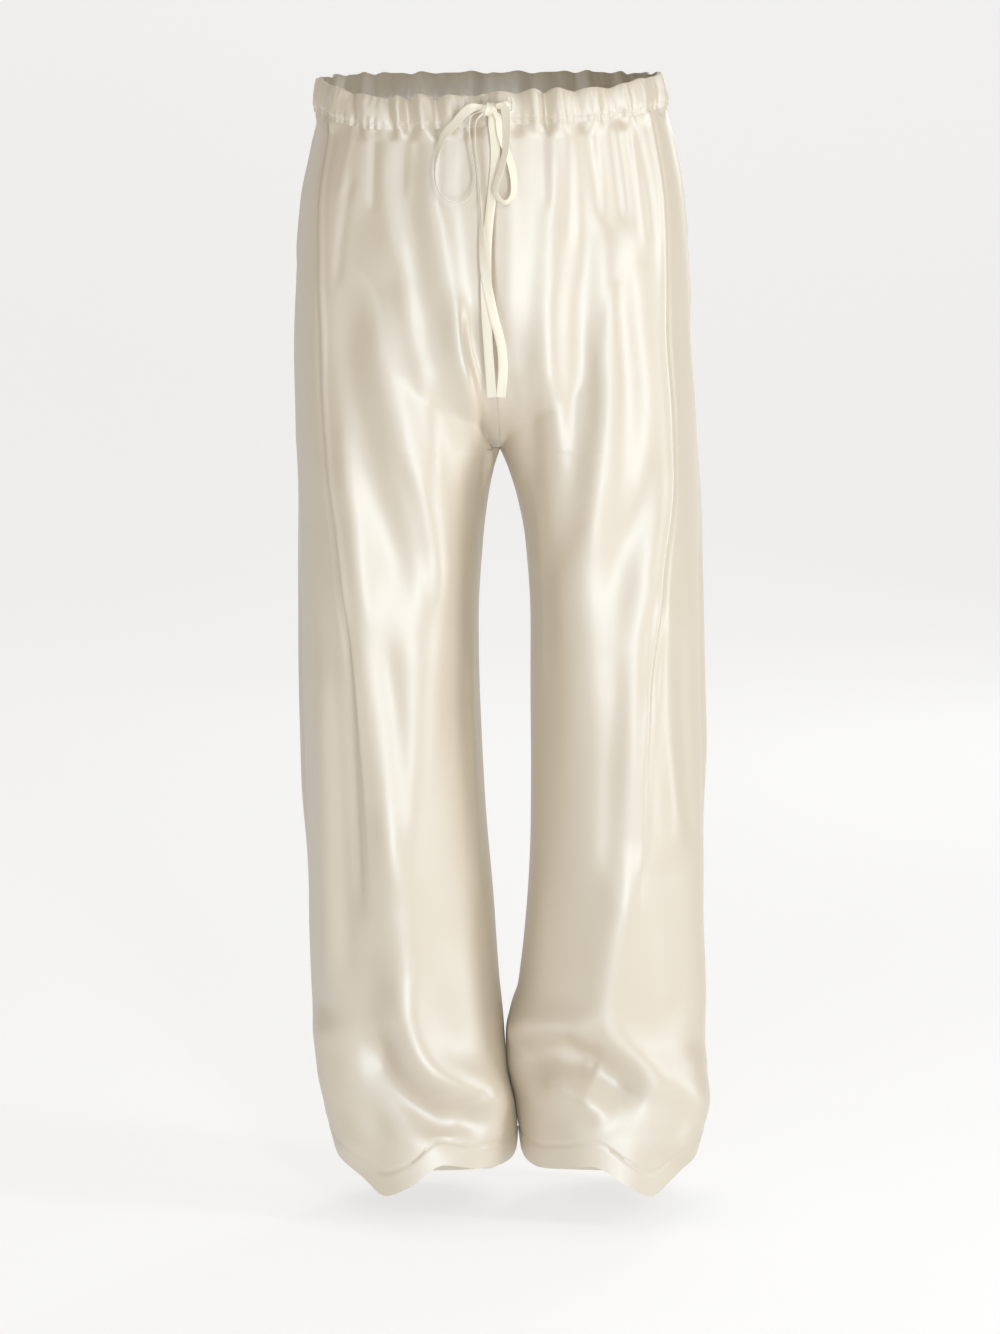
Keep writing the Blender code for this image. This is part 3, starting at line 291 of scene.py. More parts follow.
# Where the side seam lies round each leg. Degrees run from the inseam, 0, by way of the front,
# 90, to the outside, 180, and the back, 270.
Seam = namedtuple("Seam", "z left right")
SIDE_SEAM = [
    Seam(0.06, 150, 152),
    Seam(-0.05, 144, 145),
    Seam(-0.184, 137, 136),
    Seam(-0.30, 133, 132),
    Seam(-0.376, 126, 124),
    Seam(-0.456, 116, 116),
    Seam(-0.60, 107, 108),
    Seam(-0.80, 103, 106),
    Seam(-1.00, 112, 112),
    Seam(-1.16, 124, 122),
]

# How far the waist's edge rises above its middle front.
Edge = namedtuple("Edge", "degrees left right")
WAIST_RISE = [
    Edge(0, -0.001, -0.001),
    Edge(50, -0.001, -0.001),
    Edge(75, 0.001, -0.005),
    Edge(110, 0.004, -0.005),
    Edge(140, 0.012, 0.003),
    Edge(165, 0.018, 0.012),
    Edge(220, 0.022, 0.020),
    Edge(270, 0.024, 0.023),
    Edge(360, 0.024, 0.024),
]

# The height of the hem's edge. It arches over the instep and drops to the heel.
HEM_EDGE = [
    Edge(0, -1.084, -1.084),
    Edge(20, -1.088, -1.087),
    Edge(38, -1.090, -1.088),
    Edge(55, -1.086, -1.087),
    Edge(78, -1.081, -1.080),
    Edge(100, -1.101, -1.103),
    Edge(115, -1.113, -1.113),
    Edge(130, -1.100, -1.099),
    Edge(150, -1.086, -1.085),
    Edge(175, -1.078, -1.078),
    Edge(205, -1.101, -1.101),
    Edge(235, -1.127, -1.127),
    Edge(270, -1.136, -1.136),
    Edge(310, -1.126, -1.126),
    Edge(340, -1.102, -1.102),
    Edge(360, -1.082, -1.082),
]

# A fold is a soft ridge, or with a negative height a valley, along a curved path on a leg. Each row
# has half its breadth and its height, and then its path's points, each a height and degrees round
# the leg. Folds fade at both ends.
FOLDS = {
    "right": [
        # The front, from the waist to the calf.
        (10, 3, (50, 120), (-50, 118), (-120, 115)),
        (13, 4, (50, 103), (-50, 100), (-110, 95), (-180, 92)),
        (11, -4.5, (-20, 97), (-90, 90), (-140, 84), (-200, 77), (-260, 72)),
        (12, 6, (40, 79), (-80, 77), (-140, 74), (-200, 69), (-260, 63), (-330, 50), (-390, 34)),
        (9, -4.5, (40, 67), (-100, 66), (-170, 65), (-240, 60), (-310, 50)),
        (15, 5.5, (40, 130), (-100, 133), (-180, 133), (-250, 127), (-360, 115), (-480, 107)),
        (
            17, -7.5, (-170, 122), (-260, 117), (-320, 109), (-380, 97), (-440, 86), (-500, 77),
            (-560, 71),
        ),
        (19, 8.5, (-170, 106), (-270, 98), (-330, 88), (-390, 76), (-450, 66), (-540, 56)),
        (15, 6.5, (-400, 112), (-550, 105), (-630, 100), (-720, 95), (-820, 90)),
        (20, 7, (-440, 80), (-540, 72), (-620, 75), (-700, 82), (-780, 87)),
        (13, 5, (-520, 126), (-690, 133), (-810, 137), (-940, 139)),
        (12, -5.5, (-480, 122), (-620, 120), (-720, 121), (-820, 124), (-920, 127)),
        (28, -3.5, (-540, 42), (-680, 42), (-800, 44), (-920, 48)),
        # The break.
        (
            22, 13.5, (-700, 88), (-800, 90), (-870, 91), (-930, 90), (-965, 85), (-990, 74),
            (-1003, 58), (-1012, 44), (-1030, 28), (-1060, 14),
        ),
        (18, -12, (-930, 112), (-975, 105), (-1008, 92), (-1024, 76), (-1034, 60), (-1055, 44)),
        (20, -6, (-820, 104), (-900, 108), (-960, 116), (-1020, 118), (-1080, 112)),
        (22, 8, (-920, 150), (-990, 149), (-1030, 145), (-1100, 134)),
        # The seat and the back.
        (14, 4.5, (50, 200), (-80, 199), (-220, 194)),
        (13, -4, (50, 214), (-70, 213), (-180, 210)),
        (16, 5, (50, 228), (-120, 226), (-280, 220)),
        (14, 4.5, (50, 256), (-80, 254), (-220, 248)),
        (14, 4, (50, 284), (-100, 282), (-260, 276)),
        (26, 8.5, (-220, 270), (-400, 262), (-620, 246), (-880, 238)),
        (24, 7, (-180, 214), (-360, 210), (-580, 196), (-820, 188)),
        (24, -6.5, (-280, 240), (-460, 234), (-660, 222), (-920, 214)),
        (22, 7.5, (-300, 326), (-420, 308), (-600, 294), (-820, 288)),
        (22, -5.5, (-340, 300), (-500, 284), (-720, 268)),
        (22, 10, (-920, 344), (-955, 310), (-965, 270), (-950, 230)),
        (20, -10, (-1000, 336), (-1010, 300), (-1020, 258), (-1000, 205)),
    ],
    "left": [
        # The front, from the waist to the calf.
        (10, 4.5, (40, 62), (-80, 62), (-160, 62), (-250, 59)),
        (11, -5, (40, 70), (-80, 70), (-150, 69), (-240, 66), (-320, 58), (-410, 44)),
        (15, 8, (30, 81), (-100, 77), (-180, 76), (-260, 74), (-340, 72), (-400, 64), (-470, 50)),
        (14, -6.5, (-20, 92), (-180, 89), (-260, 88), (-330, 82), (-390, 74), (-440, 63), (-500, 52)),
        (12, 3, (50, 99), (-60, 98), (-130, 97)),
        (11, -3.5, (50, 110), (-60, 109), (-140, 110)),
        (
            19, 8, (-80, 102), (-220, 105), (-290, 102), (-360, 90), (-420, 76), (-480, 68),
            (-560, 71), (-680, 77),
        ),
        (15, -5, (-120, 119), (-240, 122), (-320, 118), (-400, 103), (-460, 92), (-540, 85)),
        (
            14, 6, (40, 140), (-100, 135), (-200, 133), (-300, 130), (-380, 121), (-460, 109),
            (-550, 100), (-640, 99), (-720, 97), (-800, 93),
        ),
        (12, 5.5, (-460, 113), (-580, 116), (-660, 119), (-780, 130)),
        (13, -4.5, (-520, 128), (-660, 132), (-780, 142)),
        (24, -3.5, (-560, 44), (-700, 46), (-820, 50), (-920, 52)),
        (22, -5, (-740, 120), (-860, 130), (-960, 140)),
        # The break.
        (
            18, 10.5, (-740, 97), (-800, 94), (-860, 88), (-910, 85), (-940, 89), (-962, 98),
            (-992, 120), (-1012, 143), (-1045, 172),
        ),
        (14, 6, (-970, 8), (-945, 36), (-940, 60), (-948, 84)),
        (17, -11, (-995, 16), (-972, 44), (-970, 68), (-984, 92), (-1012, 116)),
        (11, -4, (-950, 56), (-972, 70), (-985, 84)),
        (24, 8, (-960, 154), (-1020, 148), (-1090, 132)),
        # The seat and the back.
        (14, 4.5, (50, 194), (-80, 193), (-240, 190)),
        (13, -4, (50, 208), (-70, 207), (-170, 204)),
        (14, 4.5, (50, 222), (-80, 220), (-220, 214)),
        (16, 5, (50, 248), (-120, 245), (-300, 238)),
        (14, 4, (50, 278), (-80, 276), (-240, 270)),
        (26, 8.5, (-240, 264), (-420, 256), (-660, 240), (-940, 232)),
        (24, 7, (-160, 208), (-340, 204), (-540, 192), (-760, 182)),
        (24, -6.5, (-300, 234), (-480, 228), (-680, 216), (-900, 208)),
        (22, 7.5, (-300, 322), (-440, 306), (-620, 296), (-860, 290)),
        (22, -5.5, (-330, 298), (-520, 280), (-740, 262)),
        (22, 10, (-910, 348), (-945, 316), (-955, 276), (-940, 236)),
        (20, -10, (-990, 340), (-1000, 306), (-1010, 262), (-985, 200)),
    ],
}

# Finer creases that lie on the folds, or between them.
CREASES = {
    "right": [
        # Below the waist in front.
        (5, 1.2, (-10, 125), (-50, 126), (-100, 127)),
        (5, -1.6, (-10, 112), (-60, 109), (-110, 106)),
        (4.5, 1.2, (-10, 90), (-50, 89), (-100, 88)),
        (5.5, -1.4, (-10, 73), (-60, 73), (-120, 72)),
        (5, -1.2, (-60, 120), (-120, 124), (-190, 126)),
        # The thigh, knee and calf.
        (9, 2.4, (-120, 92), (-210, 87), (-310, 75), (-400, 66)),
        (8, -2, (-270, 58), (-340, 38), (-410, 22), (-470, 12)),
        (7, 1.6, (-310, 42), (-380, 26), (-450, 16)),
        (8, -1.8, (-340, 92), (-420, 76), (-520, 66)),
        (9, 2, (-300, 120), (-420, 108), (-540, 98)),
        (10, -2, (-520, 92), (-620, 86), (-720, 86), (-800, 84)),
        (11, 1.6, (-520, 30), (-660, 27), (-840, 30)),
        (7, -5, (-480, 111), (-600, 111), (-720, 112), (-840, 113)),
        (7, 4.5, (-170, 70), (-260, 64), (-320, 52), (-355, 30), (-400, 14)),
        (6.5, -7, (-190, 63), (-270, 56), (-320, 43), (-350, 20), (-375, 8)),
        # The break and hem.
        (24, 5, (-880, 93), (-960, 86), (-995, 64), (-1010, 42), (-1040, 18)),
        (20, -5, (-960, 118), (-1005, 102), (-1035, 80), (-1050, 58)),
        (15, 3, (-1005, 74), (-1030, 70), (-1062, 68)),
        (16, 3.4, (-1010, 54), (-1035, 44), (-1066, 38)),
        # The seat and the back.
        (7, 2.2, (-10, 176), (-80, 175), (-170, 174)),
        (6.5, -2.2, (-10, 240), (-80, 239), (-180, 236)),
        (6.5, 2, (-10, 268), (-90, 266), (-190, 263)),
        (11, 3.4, (-280, 318), (-360, 300), (-480, 282), (-620, 270)),
        (10, -3, (-310, 330), (-400, 314), (-540, 296)),
        (10, -2.2, (-440, 180), (-600, 174), (-800, 170)),
        (9, 2.8, (-980, 200), (-1030, 214), (-1080, 222)),
    ],
    "left": [
        # Below the waist in front.
        (4.5, -1.4, (-10, 76), (-60, 75), (-110, 74)),
        (5, 1.4, (-10, 87), (-70, 86), (-150, 84)),
        (5.5, -1.2, (-10, 104), (-60, 103), (-120, 102)),
        (5, 1.4, (-10, 117), (-60, 116), (-120, 116)),
        (5, -1.6, (-10, 128), (-70, 126), (-150, 126)),
        # The thigh, knee and calf.
        (8, -2.2, (-150, 86), (-240, 82), (-340, 78), (-420, 66)),
        (9, 2.2, (-200, 98), (-300, 95), (-380, 84), (-460, 74)),
        (10, 1.4, (-360, 52), (-460, 42), (-600, 38)),
        (11, -2, (-540, 90), (-660, 86), (-800, 82)),
        (8, 2.2, (-580, 108), (-680, 109), (-800, 103)),
        (8, -2.2, (-480, 106), (-600, 109), (-740, 113)),
        # The break and hem.
        (22, 4, (-968, 12), (-945, 42), (-943, 70), (-963, 98), (-1000, 126)),
        (23, -3.6, (-1000, 26), (-983, 58), (-992, 86), (-1022, 112)),
        (13, 3, (-992, 44), (-1006, 60), (-1020, 78), (-1045, 88)),
        (10, 2, (-965, 78), (-995, 76), (-1030, 74)),
        # The seat and the back.
        (7, 2.2, (-10, 180), (-70, 180), (-150, 178)),
        (6.5, 2.2, (-10, 234), (-80, 232), (-160, 230)),
        (6.5, -2, (-10, 262), (-90, 260), (-200, 256)),
        (11, 3.2, (-290, 322), (-380, 302), (-500, 286), (-660, 276)),
        (10, -2.8, (-320, 334), (-420, 316), (-580, 300)),
        (10, -2.2, (-400, 176), (-580, 170), (-760, 166)),
        (9, 2.8, (-970, 206), (-1020, 218), (-1080, 226)),
    ],
}

# The gathers of the waist, which the casing has and the panels only begin.
GATHERS = {
    "right": [
        (9, 5, (60, 144), (-50, 140)),
        (6, -4, (50, 137), (0, 128), (-60, 112)),
        (10, 4, (50, 124), (0, 119), (-50, 106)),
        (5, -4.5, (50, 110), (-10, 103), (-50, 97)),
        (5, 3.5, (50, 104), (-50, 93)),
        (4.5, -4.5, (50, 98), (-50, 88)),
        (6.5, 6.5, (50, 90), (0, 85), (-60, 80)),
        (4.5, -5, (50, 81), (-50, 75)),
        (6.5, 4, (40, 73), (-40, 71)),
        (4.5, -3.5, (40, 61), (-40, 62)),
    ],
    "left": [
        (5, 2.5, (40, 59), (-40, 59)),
        (4.5, -4, (50, 66), (-50, 65)),
        (5.5, 5, (50, 72), (-50, 73)),
        (4, -5, (50, 78), (-50, 77)),
        (6.5, 5.5, (50, 84), (-60, 84)),
        (6, -4, (50, 93), (-50, 96)),
        (10, 3.5, (50, 105), (-50, 104)),
        (7, -3, (50, 116), (0, 119), (-70, 128)),
        (6, 2.5, (50, 124), (-50, 131)),
        (9, 5, (60, 138), (-50, 141)),
    ],
}

# The waist's gathers behind, on each side, stand between these degrees.
BACK_GATHERS_FROM = 158
BACK_GATHERS_TO = 304
BACK_GATHERS = 15
BACK_GATHER_TOP = 80
BACK_GATHER_FOOT = -50
BACK_GATHER_WIDTH = 5.5
BACK_GATHER_RIDGE = 3.2
BACK_GATHER_VALLEY = -2.6
# The phase each gather has past the one before, and how much the phase changes it.
BACK_GATHER_PHASE = 2.1
BACK_GATHER_SHIFT = 0.25
BACK_GATHER_SLANT = 2
BACK_GATHER_UNEVENNESS = 0.3

# The drawstring's route: x, y, z and the degrees that the tape's flat side is turned from the front.
LEADS = {
    "right": [
        (-17.8, -113, 3, 0), (-17.6, -117.5, 2.8, 0), (-16.8, -121, 1.8, 0),
        (-14.7, -123, 0, 0),
    ],
    "left": [
        (9.9, -116.5, 0.4, 0), (8.8, -121, 0.4, 0), (4.5, -124.3, 0, 0), (-3, -125.4, -1.6, 0),
    ],
}
LOOPS = {
    "right": [
        (-19.1, -128.7, -1.8, 10), (-29, -130.5, -3.5, 15), (-37.5, -132, -10.4, 20),
        (-43.7, -134, -18.1, 25), (-52.3, -136, -27, 35), (-57.8, -137.5, -35.9, 50),
        (-63.9, -138, -56, 75), (-63.9, -137, -76, 85), (-57, -136, -90.1, 85),
        (-43.8, -135, -97.2, 85), (-31.7, -134, -92.2, 88), (-25.2, -133, -76.1, 90),
        (-25.7, -132, -61, 90), (-28.7, -131, -41, 90), (-30.1, -130, -23.1, 90),
        (-27.7, -129, -11.3, 90), (-19, -127.6, -6.3, 90),
    ],
    "left": [
        (-2.8, -129.1, -0.4, 5), (3.5, -131.5, -2.2, 20), (6.4, -134.5, -13.3, 35),
        (6.9, -137, -30, 45), (5.3, -138, -46.6, 50), (1, -138, -62.3, 50),
        (-4, -137.5, -77, 50), (-4.7, -137, -86.8, 55), (0.5, -136, -94.7, 60),
        (6.9, -135, -96.2, 60), (12.5, -134, -89.8, 55), (14.2, -132.5, -79, 45),
        (11.9, -130.5, -63, 40), (7.5, -129, -48.6, 40), (3.5, -128, -37.8, 35),
        (1, -127.8, -26.9, 25), (-0.5, -127.8, -15, 10), (-3.6, -127.4, -8.2, 5),
    ],
}
TAILS = {
    "right": [
        (-17.5, -126.4, -8.5, 90), (-23.5, -127, -17.2, 90), (-23.8, -127, -34.8, 90),
        (-22, -127, -59.4, 90), (-20.5, -128, -86, 85), (-19.3, -130, -108.6, 75),
        (-17.9, -131.5, -133.3, 50), (-14.4, -132.5, -166.9, 15), (-7, -132.5, -204.6, 0),
        (-1, -132, -227.5, 0), (2, -131.5, -242.4, 0), (3, -130.5, -263.3, 0),
        (1, -129.5, -289.3, 5),
    ],
    "left": [
        (-8.9, -124.4, -10.2, 0), (-6.2, -122.5, -25, 0), (-4.5, -121.5, -44.6, 0),
        (-5.2, -122, -64.3, 5), (-7.9, -123.5, -89, 10), (-10.9, -125.5, -113.6, 10),
        (-12.9, -127.5, -138.4, 5), (-14.4, -128.5, -163.1, 0), (-14.4, -128.7, -192.9, 0),
        (-12.5, -128.5, -227.7, 0), (-10, -127.5, -263.5, 5), (-8, -126, -289.5, 8),
    ],
}


def smooth_table(rows, column, at):
    """The column's value at each height or angle, on a curve that never swings past its rows."""
    ordered = sorted(rows, key=lambda row: row[0])
    knots = np.array([row[0] for row in ordered], float)
    values = np.array([getattr(row, column) for row in ordered], float)
    spans = np.diff(knots)
    slopes = np.diff(values) / spans
    tangents = np.zeros(len(knots))
    same_way = slopes[:-1] * slopes[1:] > 0
    harmonic = 2 * slopes[:-1] * slopes[1:] / np.where(same_way, slopes[:-1] + slopes[1:], 1.0)
    tangents[1:-1] = np.where(same_way, harmonic, 0.0)
    tangents[0] = slopes[0]
    tangents[-1] = slopes[-1]
    at = np.clip(at, knots[0], knots[-1])
    span = np.clip(np.searchsorted(knots, at, side="right") - 1, 0, len(spans) - 1)
    width = spans[span]
    share = (at - knots[span]) / width
    start = values[span] * (1 + 2 * share) * (1 - share) ** 2
    end = values[span + 1] * share**2 * (3 - 2 * share)
    bend = tangents[span] * share * (1 - share) ** 2 + tangents[span + 1] * share**2 * (share - 1)
    return start + end + bend * width


def smooth_step(low, high, at):
    """0 at low and before it, 1 at high and past it, and a soft S between."""
    share = np.clip((at - low) / (high - low), 0.0, 1.0)
    return share * share * (3 - 2 * share)


def bell(distance, width):
    """1 on the line itself, falling softly to 0 on both sides of it."""
    return np.exp(-((distance / width) ** 2))


def distances(points):
    """How far along its line each point lies, for one line or for each row of a grid."""
    steps = np.linalg.norm(np.diff(points, axis=-2), axis=-1)
    return np.concatenate([np.zeros(steps.shape[:-1] + (1,)), np.cumsum(steps, axis=-1)], axis=-1)


def leg_edges(side, z):
    """The leg's inner and outer edges, from the line between the legs."""
    return smooth_table(LEGS, "inner", z), smooth_table(LEGS, side + "_outer", z)


def leg_axis(side, z):
    """The middle of the leg's section: its distance from the line between the legs, and its y."""
    inner, outer = leg_edges(side, z)
    return (inner + outer) / 2, smooth_table(LEGS, "middle", z)


def leg_radius(side, turn, z):
    """From the leg's axis to the leg alone: a rounded section of the table's width and girth."""
    inner, outer = leg_edges(side, z)
    half_width = (outer - inner) / 2
    mean_square = 2 * (smooth_table(LEGS, "girth", z) / (2 * math.pi)) ** 2
    half_depth = np.sqrt(mean_square - half_width**2)
    across = np.abs(np.cos(turn)) / half_width
    along = np.abs(np.sin(turn)) / half_depth
    return (across**SECTION_POWER + along**SECTION_POWER) ** (-1 / SECTION_POWER)


def curve_share(z):
    """How much of the hips' depth is left at this height of the rise: all of it, or 0 at the fork."""
    rise = np.clip((z - CROTCH_Z) / RISE_CURVE, 0.0, 1.0)
    return np.sqrt(np.maximum(1 - (1 - rise) ** 2, 0.0))


def hip_radius(side, turn, z):
    """From the leg's axis to the hips' section, which closes to a line at the fork and ends."""
    across, middle = leg_axis(side, z)
    _, half_width = leg_edges(side, z)
    front = np.maximum(smooth_table(HIPS, "front", z) * curve_share(z), LEAST)
    back = np.maximum(smooth_table(HIPS, "back", z) * curve_share(z), LEAST)
    low = np.zeros(np.shape(turn))
    high = np.full(np.shape(turn), MOST_REACH)
    for _ in range(SEARCH_STEPS):
        reach = (low + high) / 2
        x = across - reach * np.cos(turn)
        y = middle - reach * np.sin(turn)
        depth = np.where(y < 0, front, back)
        inside = np.abs(x / half_width) ** SECTION_POWER + np.abs(y / depth) ** SECTION_POWER < 1
        low = np.where(inside, reach, low)
        high = np.where(inside, high, reach)
    return np.where(z > CROTCH_Z, (low + high) / 2, 0.0)


def body_radius(side, turn, z):
    """The softened union of leg and hips, as a distance from the leg's axis."""
    leg = leg_radius(side, turn, z)
    hips = hip_radius(side, turn, z)
    inward = smooth_step(BLEND_STARTS, BLEND_IS_FULL, np.cos(turn))
    soft = BLEND * inward * smooth_step(CROTCH_Z, CROTCH_Z + RISE_CURVE, z) + LEAST
    overlap = np.maximum(soft - np.abs(leg - hips), 0.0) / soft
    return np.maximum(leg, hips) + overlap * overlap * soft / 4


def first_turn(side, face, z):
    """How far round from the inseam the panel starts, at the line between the legs."""
    across, _ = leg_axis(side, z)
    low = np.zeros(np.shape(z))
    high = np.full(np.shape(z), math.pi / 2)
    for _ in range(SEARCH_STEPS):
        turn = (low + high) / 2
        past = body_radius(side, FACES[face] * turn, z) * np.cos(turn) > across
        low = np.where(past, turn, low)
        high = np.where(past, high, turn)
    return np.where(z > CROTCH_Z + LEAST, (low + high) / 2, 0.0)


def smooth_path(knots, steps):
    """Points on a smooth curve through the knots, with as many steps from each to the next."""
    knots = np.array(knots, float)
    padded = np.concatenate([2 * knots[:1] - knots[1:2], knots, 2 * knots[-1:] - knots[-2:-1]])
    points = []
    for number in range(len(knots) - 1):
        before, start, end, after = padded[number : number + 4]
        for share in np.arange(steps) / steps:
            points.append(
                0.5 * (
                    2 * start
                    + (end - before) * share
                    + (2 * before - 5 * start + 4 * end - after) * share**2
                    + (3 * start - before - 3 * end + after) * share**3
                )
            )
    points.append(knots[-1])
    return np.array(points)


def line_lift(degrees, z, path, width):
    """The profile of one fold at every place of a grid: 1 on its line and 0 away from it."""
    scale = math.radians(1) * FOLD_RADIUS
    steps = np.diff(path, axis=0) * (1.0, scale)
    lengths = np.linalg.norm(steps, axis=1)
    walked = np.concatenate([[0.0], np.cumsum(lengths)])
    nearest = np.full(np.shape(z), np.inf)
    along = np.zeros(np.shape(z))
    for number, (down, round_leg) in enumerate(steps):
        from_z = z - path[number, 0]
        from_turn = ((degrees - path[number, 1] + 180) % 360 - 180) * scale
        share = np.clip((from_z * down + from_turn * round_leg) / lengths[number] ** 2, 0.0, 1.0)
        distance = np.hypot(from_z - share * down, from_turn - share * round_leg)
        closer = distance < nearest
        along = np.where(closer, (walked[number] + share * lengths[number]) / walked[-1], along)
        nearest = np.where(closer, distance, nearest)
    fade = smooth_step(0, FOLD_FADE, along) * smooth_step(0, FOLD_FADE, 1 - along)
    return bell(nearest, width) * fade


def cloth_lift(rows, turn, z, softness=1.0):
    """How far the folds lift the cloth off its plain section."""
    degrees = np.degrees(turn)
    lift = np.zeros(np.shape(z))
    for width, height, *points in rows:
        path = smooth_path(np.array(points) / (MM_PER_M, 1), FOLD_STEPS)
        profile = line_lift(degrees, z, path, softness * (width / MM_PER_M))
        lift += (height / MM_PER_M) * profile
    return lift


def places(side, turn, z, lift):
    """Points on the outside of the cloth."""
    across, middle = leg_axis(side, z)
    reach = body_radius(side, turn, z) + lift
    out = across - reach * np.cos(turn)
    x = smooth_table(LEAN, "x", z) + SIDES[side] * out
    return np.stack([x, middle - reach * np.sin(turn), z], axis=-1)


def row_heights():
    """The heights of a panel's rows at its inner edge and at the side seam."""
    curve = [
        CROTCH_Z + RISE_CURVE * (1 - math.cos(math.pi / 2 * (1 - row / ROWS_ON_CURVE)))
        for row in range(1, ROWS_ON_CURVE + 1)
    ]
    share = np.linspace(0.0, 1.0, ROWS_TO_CURVE + 1) ** WAIST_ROW_POWER
    above = CASING_FOOT_Z + (CROTCH_Z + RISE_CURVE - CASING_FOOT_Z) * share
    side_share = np.linspace(0.0, 1.0, ROWS_TO_CURVE + ROWS_ON_CURVE + 1) ** WAIST_ROW_POWER
    side = CASING_FOOT_Z + (CROTCH_Z - CASING_FOOT_Z) * side_share
    leg = np.linspace(CROTCH_Z, BREAK_TOP_Z, ROWS_TO_BREAK + 1)[1:]
    foot = np.linspace(BREAK_TOP_Z, HEM_Z + HEM_DEPTH, ROWS_TO_TURNING + 1)[1:]
    turning = np.linspace(HEM_Z + HEM_DEPTH, HEM_Z, ROWS_ON_TURNING + 1)[1:]
    below = np.concatenate([leg, foot, turning])
    return np.concatenate([above, curve, below]), np.concatenate([side, below])


def column_shares(face):
    """Shares across a panel, closer together along both of its seams."""
    edge = EDGE_COLUMNS * EDGE_COLUMN_SHARE
    near = np.linspace(0.0, edge, EDGE_COLUMNS + 1)
    between = np.linspace(edge, 1 - edge, COLUMNS[face] - 2 * EDGE_COLUMNS + 1)
    return np.concatenate([near[:-1], between, 1 - near[-2::-1]])


def turns_to_seam(side, face, inner_z, z, share):
    """Angles round the leg, by shares of the way from a panel's inner edge to the side seam."""
    start = first_turn(side, face, inner_z)[:, None]
    seam = np.radians(smooth_table(SIDE_SEAM, side, z))
    if face == "front":
        return start + (seam - start) * share
    return 2 * math.pi - (start + (2 * math.pi - seam - start) * share)


def panel_turns_and_heights(side, face):
    """The panel's grid of points, as angles round the leg and heights."""
    inner, outer = row_heights()
    share = column_shares(face)[None, :]
    z = outer[:, None] + (inner - outer)[:, None] * (1 - share) ** 2
    turn = turns_to_seam(side, face, inner, z, share)
    degrees = np.degrees(turn)
    waist = smooth_step(WAIST_RISE_ENDS_Z, CASING_FOOT_Z, z)
    hem = 1 - smooth_step(HEM_Z + HEM_DEPTH, HEM_SHAPE_STARTS_Z, z)
    z = z + smooth_table(WAIST_RISE, side, degrees) * waist
    z = z + (smooth_table(HEM_EDGE, side, degrees) - HEM_Z) * hem
    return turn, z


def seam_profile(distance, ridge_height):
    """The pressed seam: a groove on the line itself and a low ridge, or a dip, beside it."""
    groove = bell(distance, SEAM_GROOVE)
    ridge = bell(distance - SEAM_RIDGE_AT, SEAM_RIDGE)
    return ridge_height * ridge - SEAM_GROOVE_DEPTH * groove


def panel_points():
    """The outside points of each panel, the same along each seam on both its sides."""
    fork = ROWS_TO_CURVE + ROWS_ON_CURVE
    stitch_row_number = fork + ROWS_TO_BREAK + ROWS_TO_TURNING
    points = {}
    for side in SIDES:
        for face in FACES:
            turn, z = panel_turns_and_heights(side, face)
            lift = cloth_lift(FOLDS[side], turn, z, FOLD_SOFTNESS) + cloth_lift(CREASES[side], turn, z)
            walked = distances(places(side, turn, z, lift))
            clear = smooth_step(SEAM_FADES_Z - SEAM_FADE, SEAM_FADES_Z, z)
            lift += clear * seam_profile(walked[:, -1:] - walked, SIDE_SEAM_RIDGE[face])
            lift += MIDDLE_SEAM_SHARE * seam_profile(walked, SEAM_RIDGE_HEIGHT)
            lift[stitch_row_number] -= HEM_STITCH_DEPTH
            lift[stitch_row_number + 1 :] += HEM_BAND_RISE
            points[face, side] = places(side, turn, z, lift)
            join_waist(points[face, side], face, side, turn, z)
    for face in FACES:
        left, right = points[face, "left"], points[face, "right"]
        middle = (left[: fork + 1, :1] + right[: fork + 1, :1]) / 2
        middle[..., 0] = smooth_table(LEAN, "x", middle[..., 2])
        fade = 1 - smooth_step(0.0, MIDDLE_BLEND, column_shares(face))
        for grid in (left, right):
            shift = middle - grid[: fork + 1, :1]
            grid[: fork + 1] += shift * fade[None, :, None]
    for side in SIDES:
        points["back", side][:, -1] = points["front", side][:, -1]
        points["back", side][fork:, 0] = points["front", side][fork:, 0]
    return points


def join_waist(grid, face, side, turn, z):
    """Moves the panel's top rows out and in with the casing's foot, and tucks them under it."""
    share = smooth_step(CASING_FOOT_Z - WAVE_REACH, CASING_FOOT_Z, row_heights()[0])[:, None]
    wave = cloth_lift(GATHERS[side] + back_gathers(side), turn, z) - TOP_TUCK
    grid += level_normals(grid, FACES[face] * SIDES[side]) * (share * wave)[..., None]


def level_normals(points, sign):
    """Level directions out of the cloth, square to a line or to each row of a grid."""
    along = np.gradient(points[..., :2], axis=-2)
    normals = np.stack([along[..., 1], -along[..., 0], np.zeros(along.shape[:-1])], axis=-1)
    return normals * (sign / np.linalg.norm(normals, axis=-1))[..., None]


def grid_quads(rows, columns, start=0, flip=False):
    """The faces of a grid of points that are numbered row by row from start."""
    top = (np.arange(rows - 1)[:, None] * columns + np.arange(columns - 1)[None, :]).ravel() + start
    quads = np.stack([top, top + 1, top + columns + 1, top + columns], axis=1)
    return quads[:, ::-1] if flip else quads


def grid_normals(points):
    """Normals of a grid of points, from its own lines."""
    down = np.gradient(points, axis=0)
    along = np.gradient(points, axis=1)
    normals = np.cross(along, down)
    return normals / np.linalg.norm(normals, axis=-1)[..., None]


def rim_loop(rows, columns):
    """The numbers of a grid's edge points, once round."""
    grid = np.arange(rows * columns).reshape(rows, columns)
    return np.concatenate([grid[0, :-1], grid[:-1, -1], grid[-1, :0:-1], grid[:0:-1, 0]])


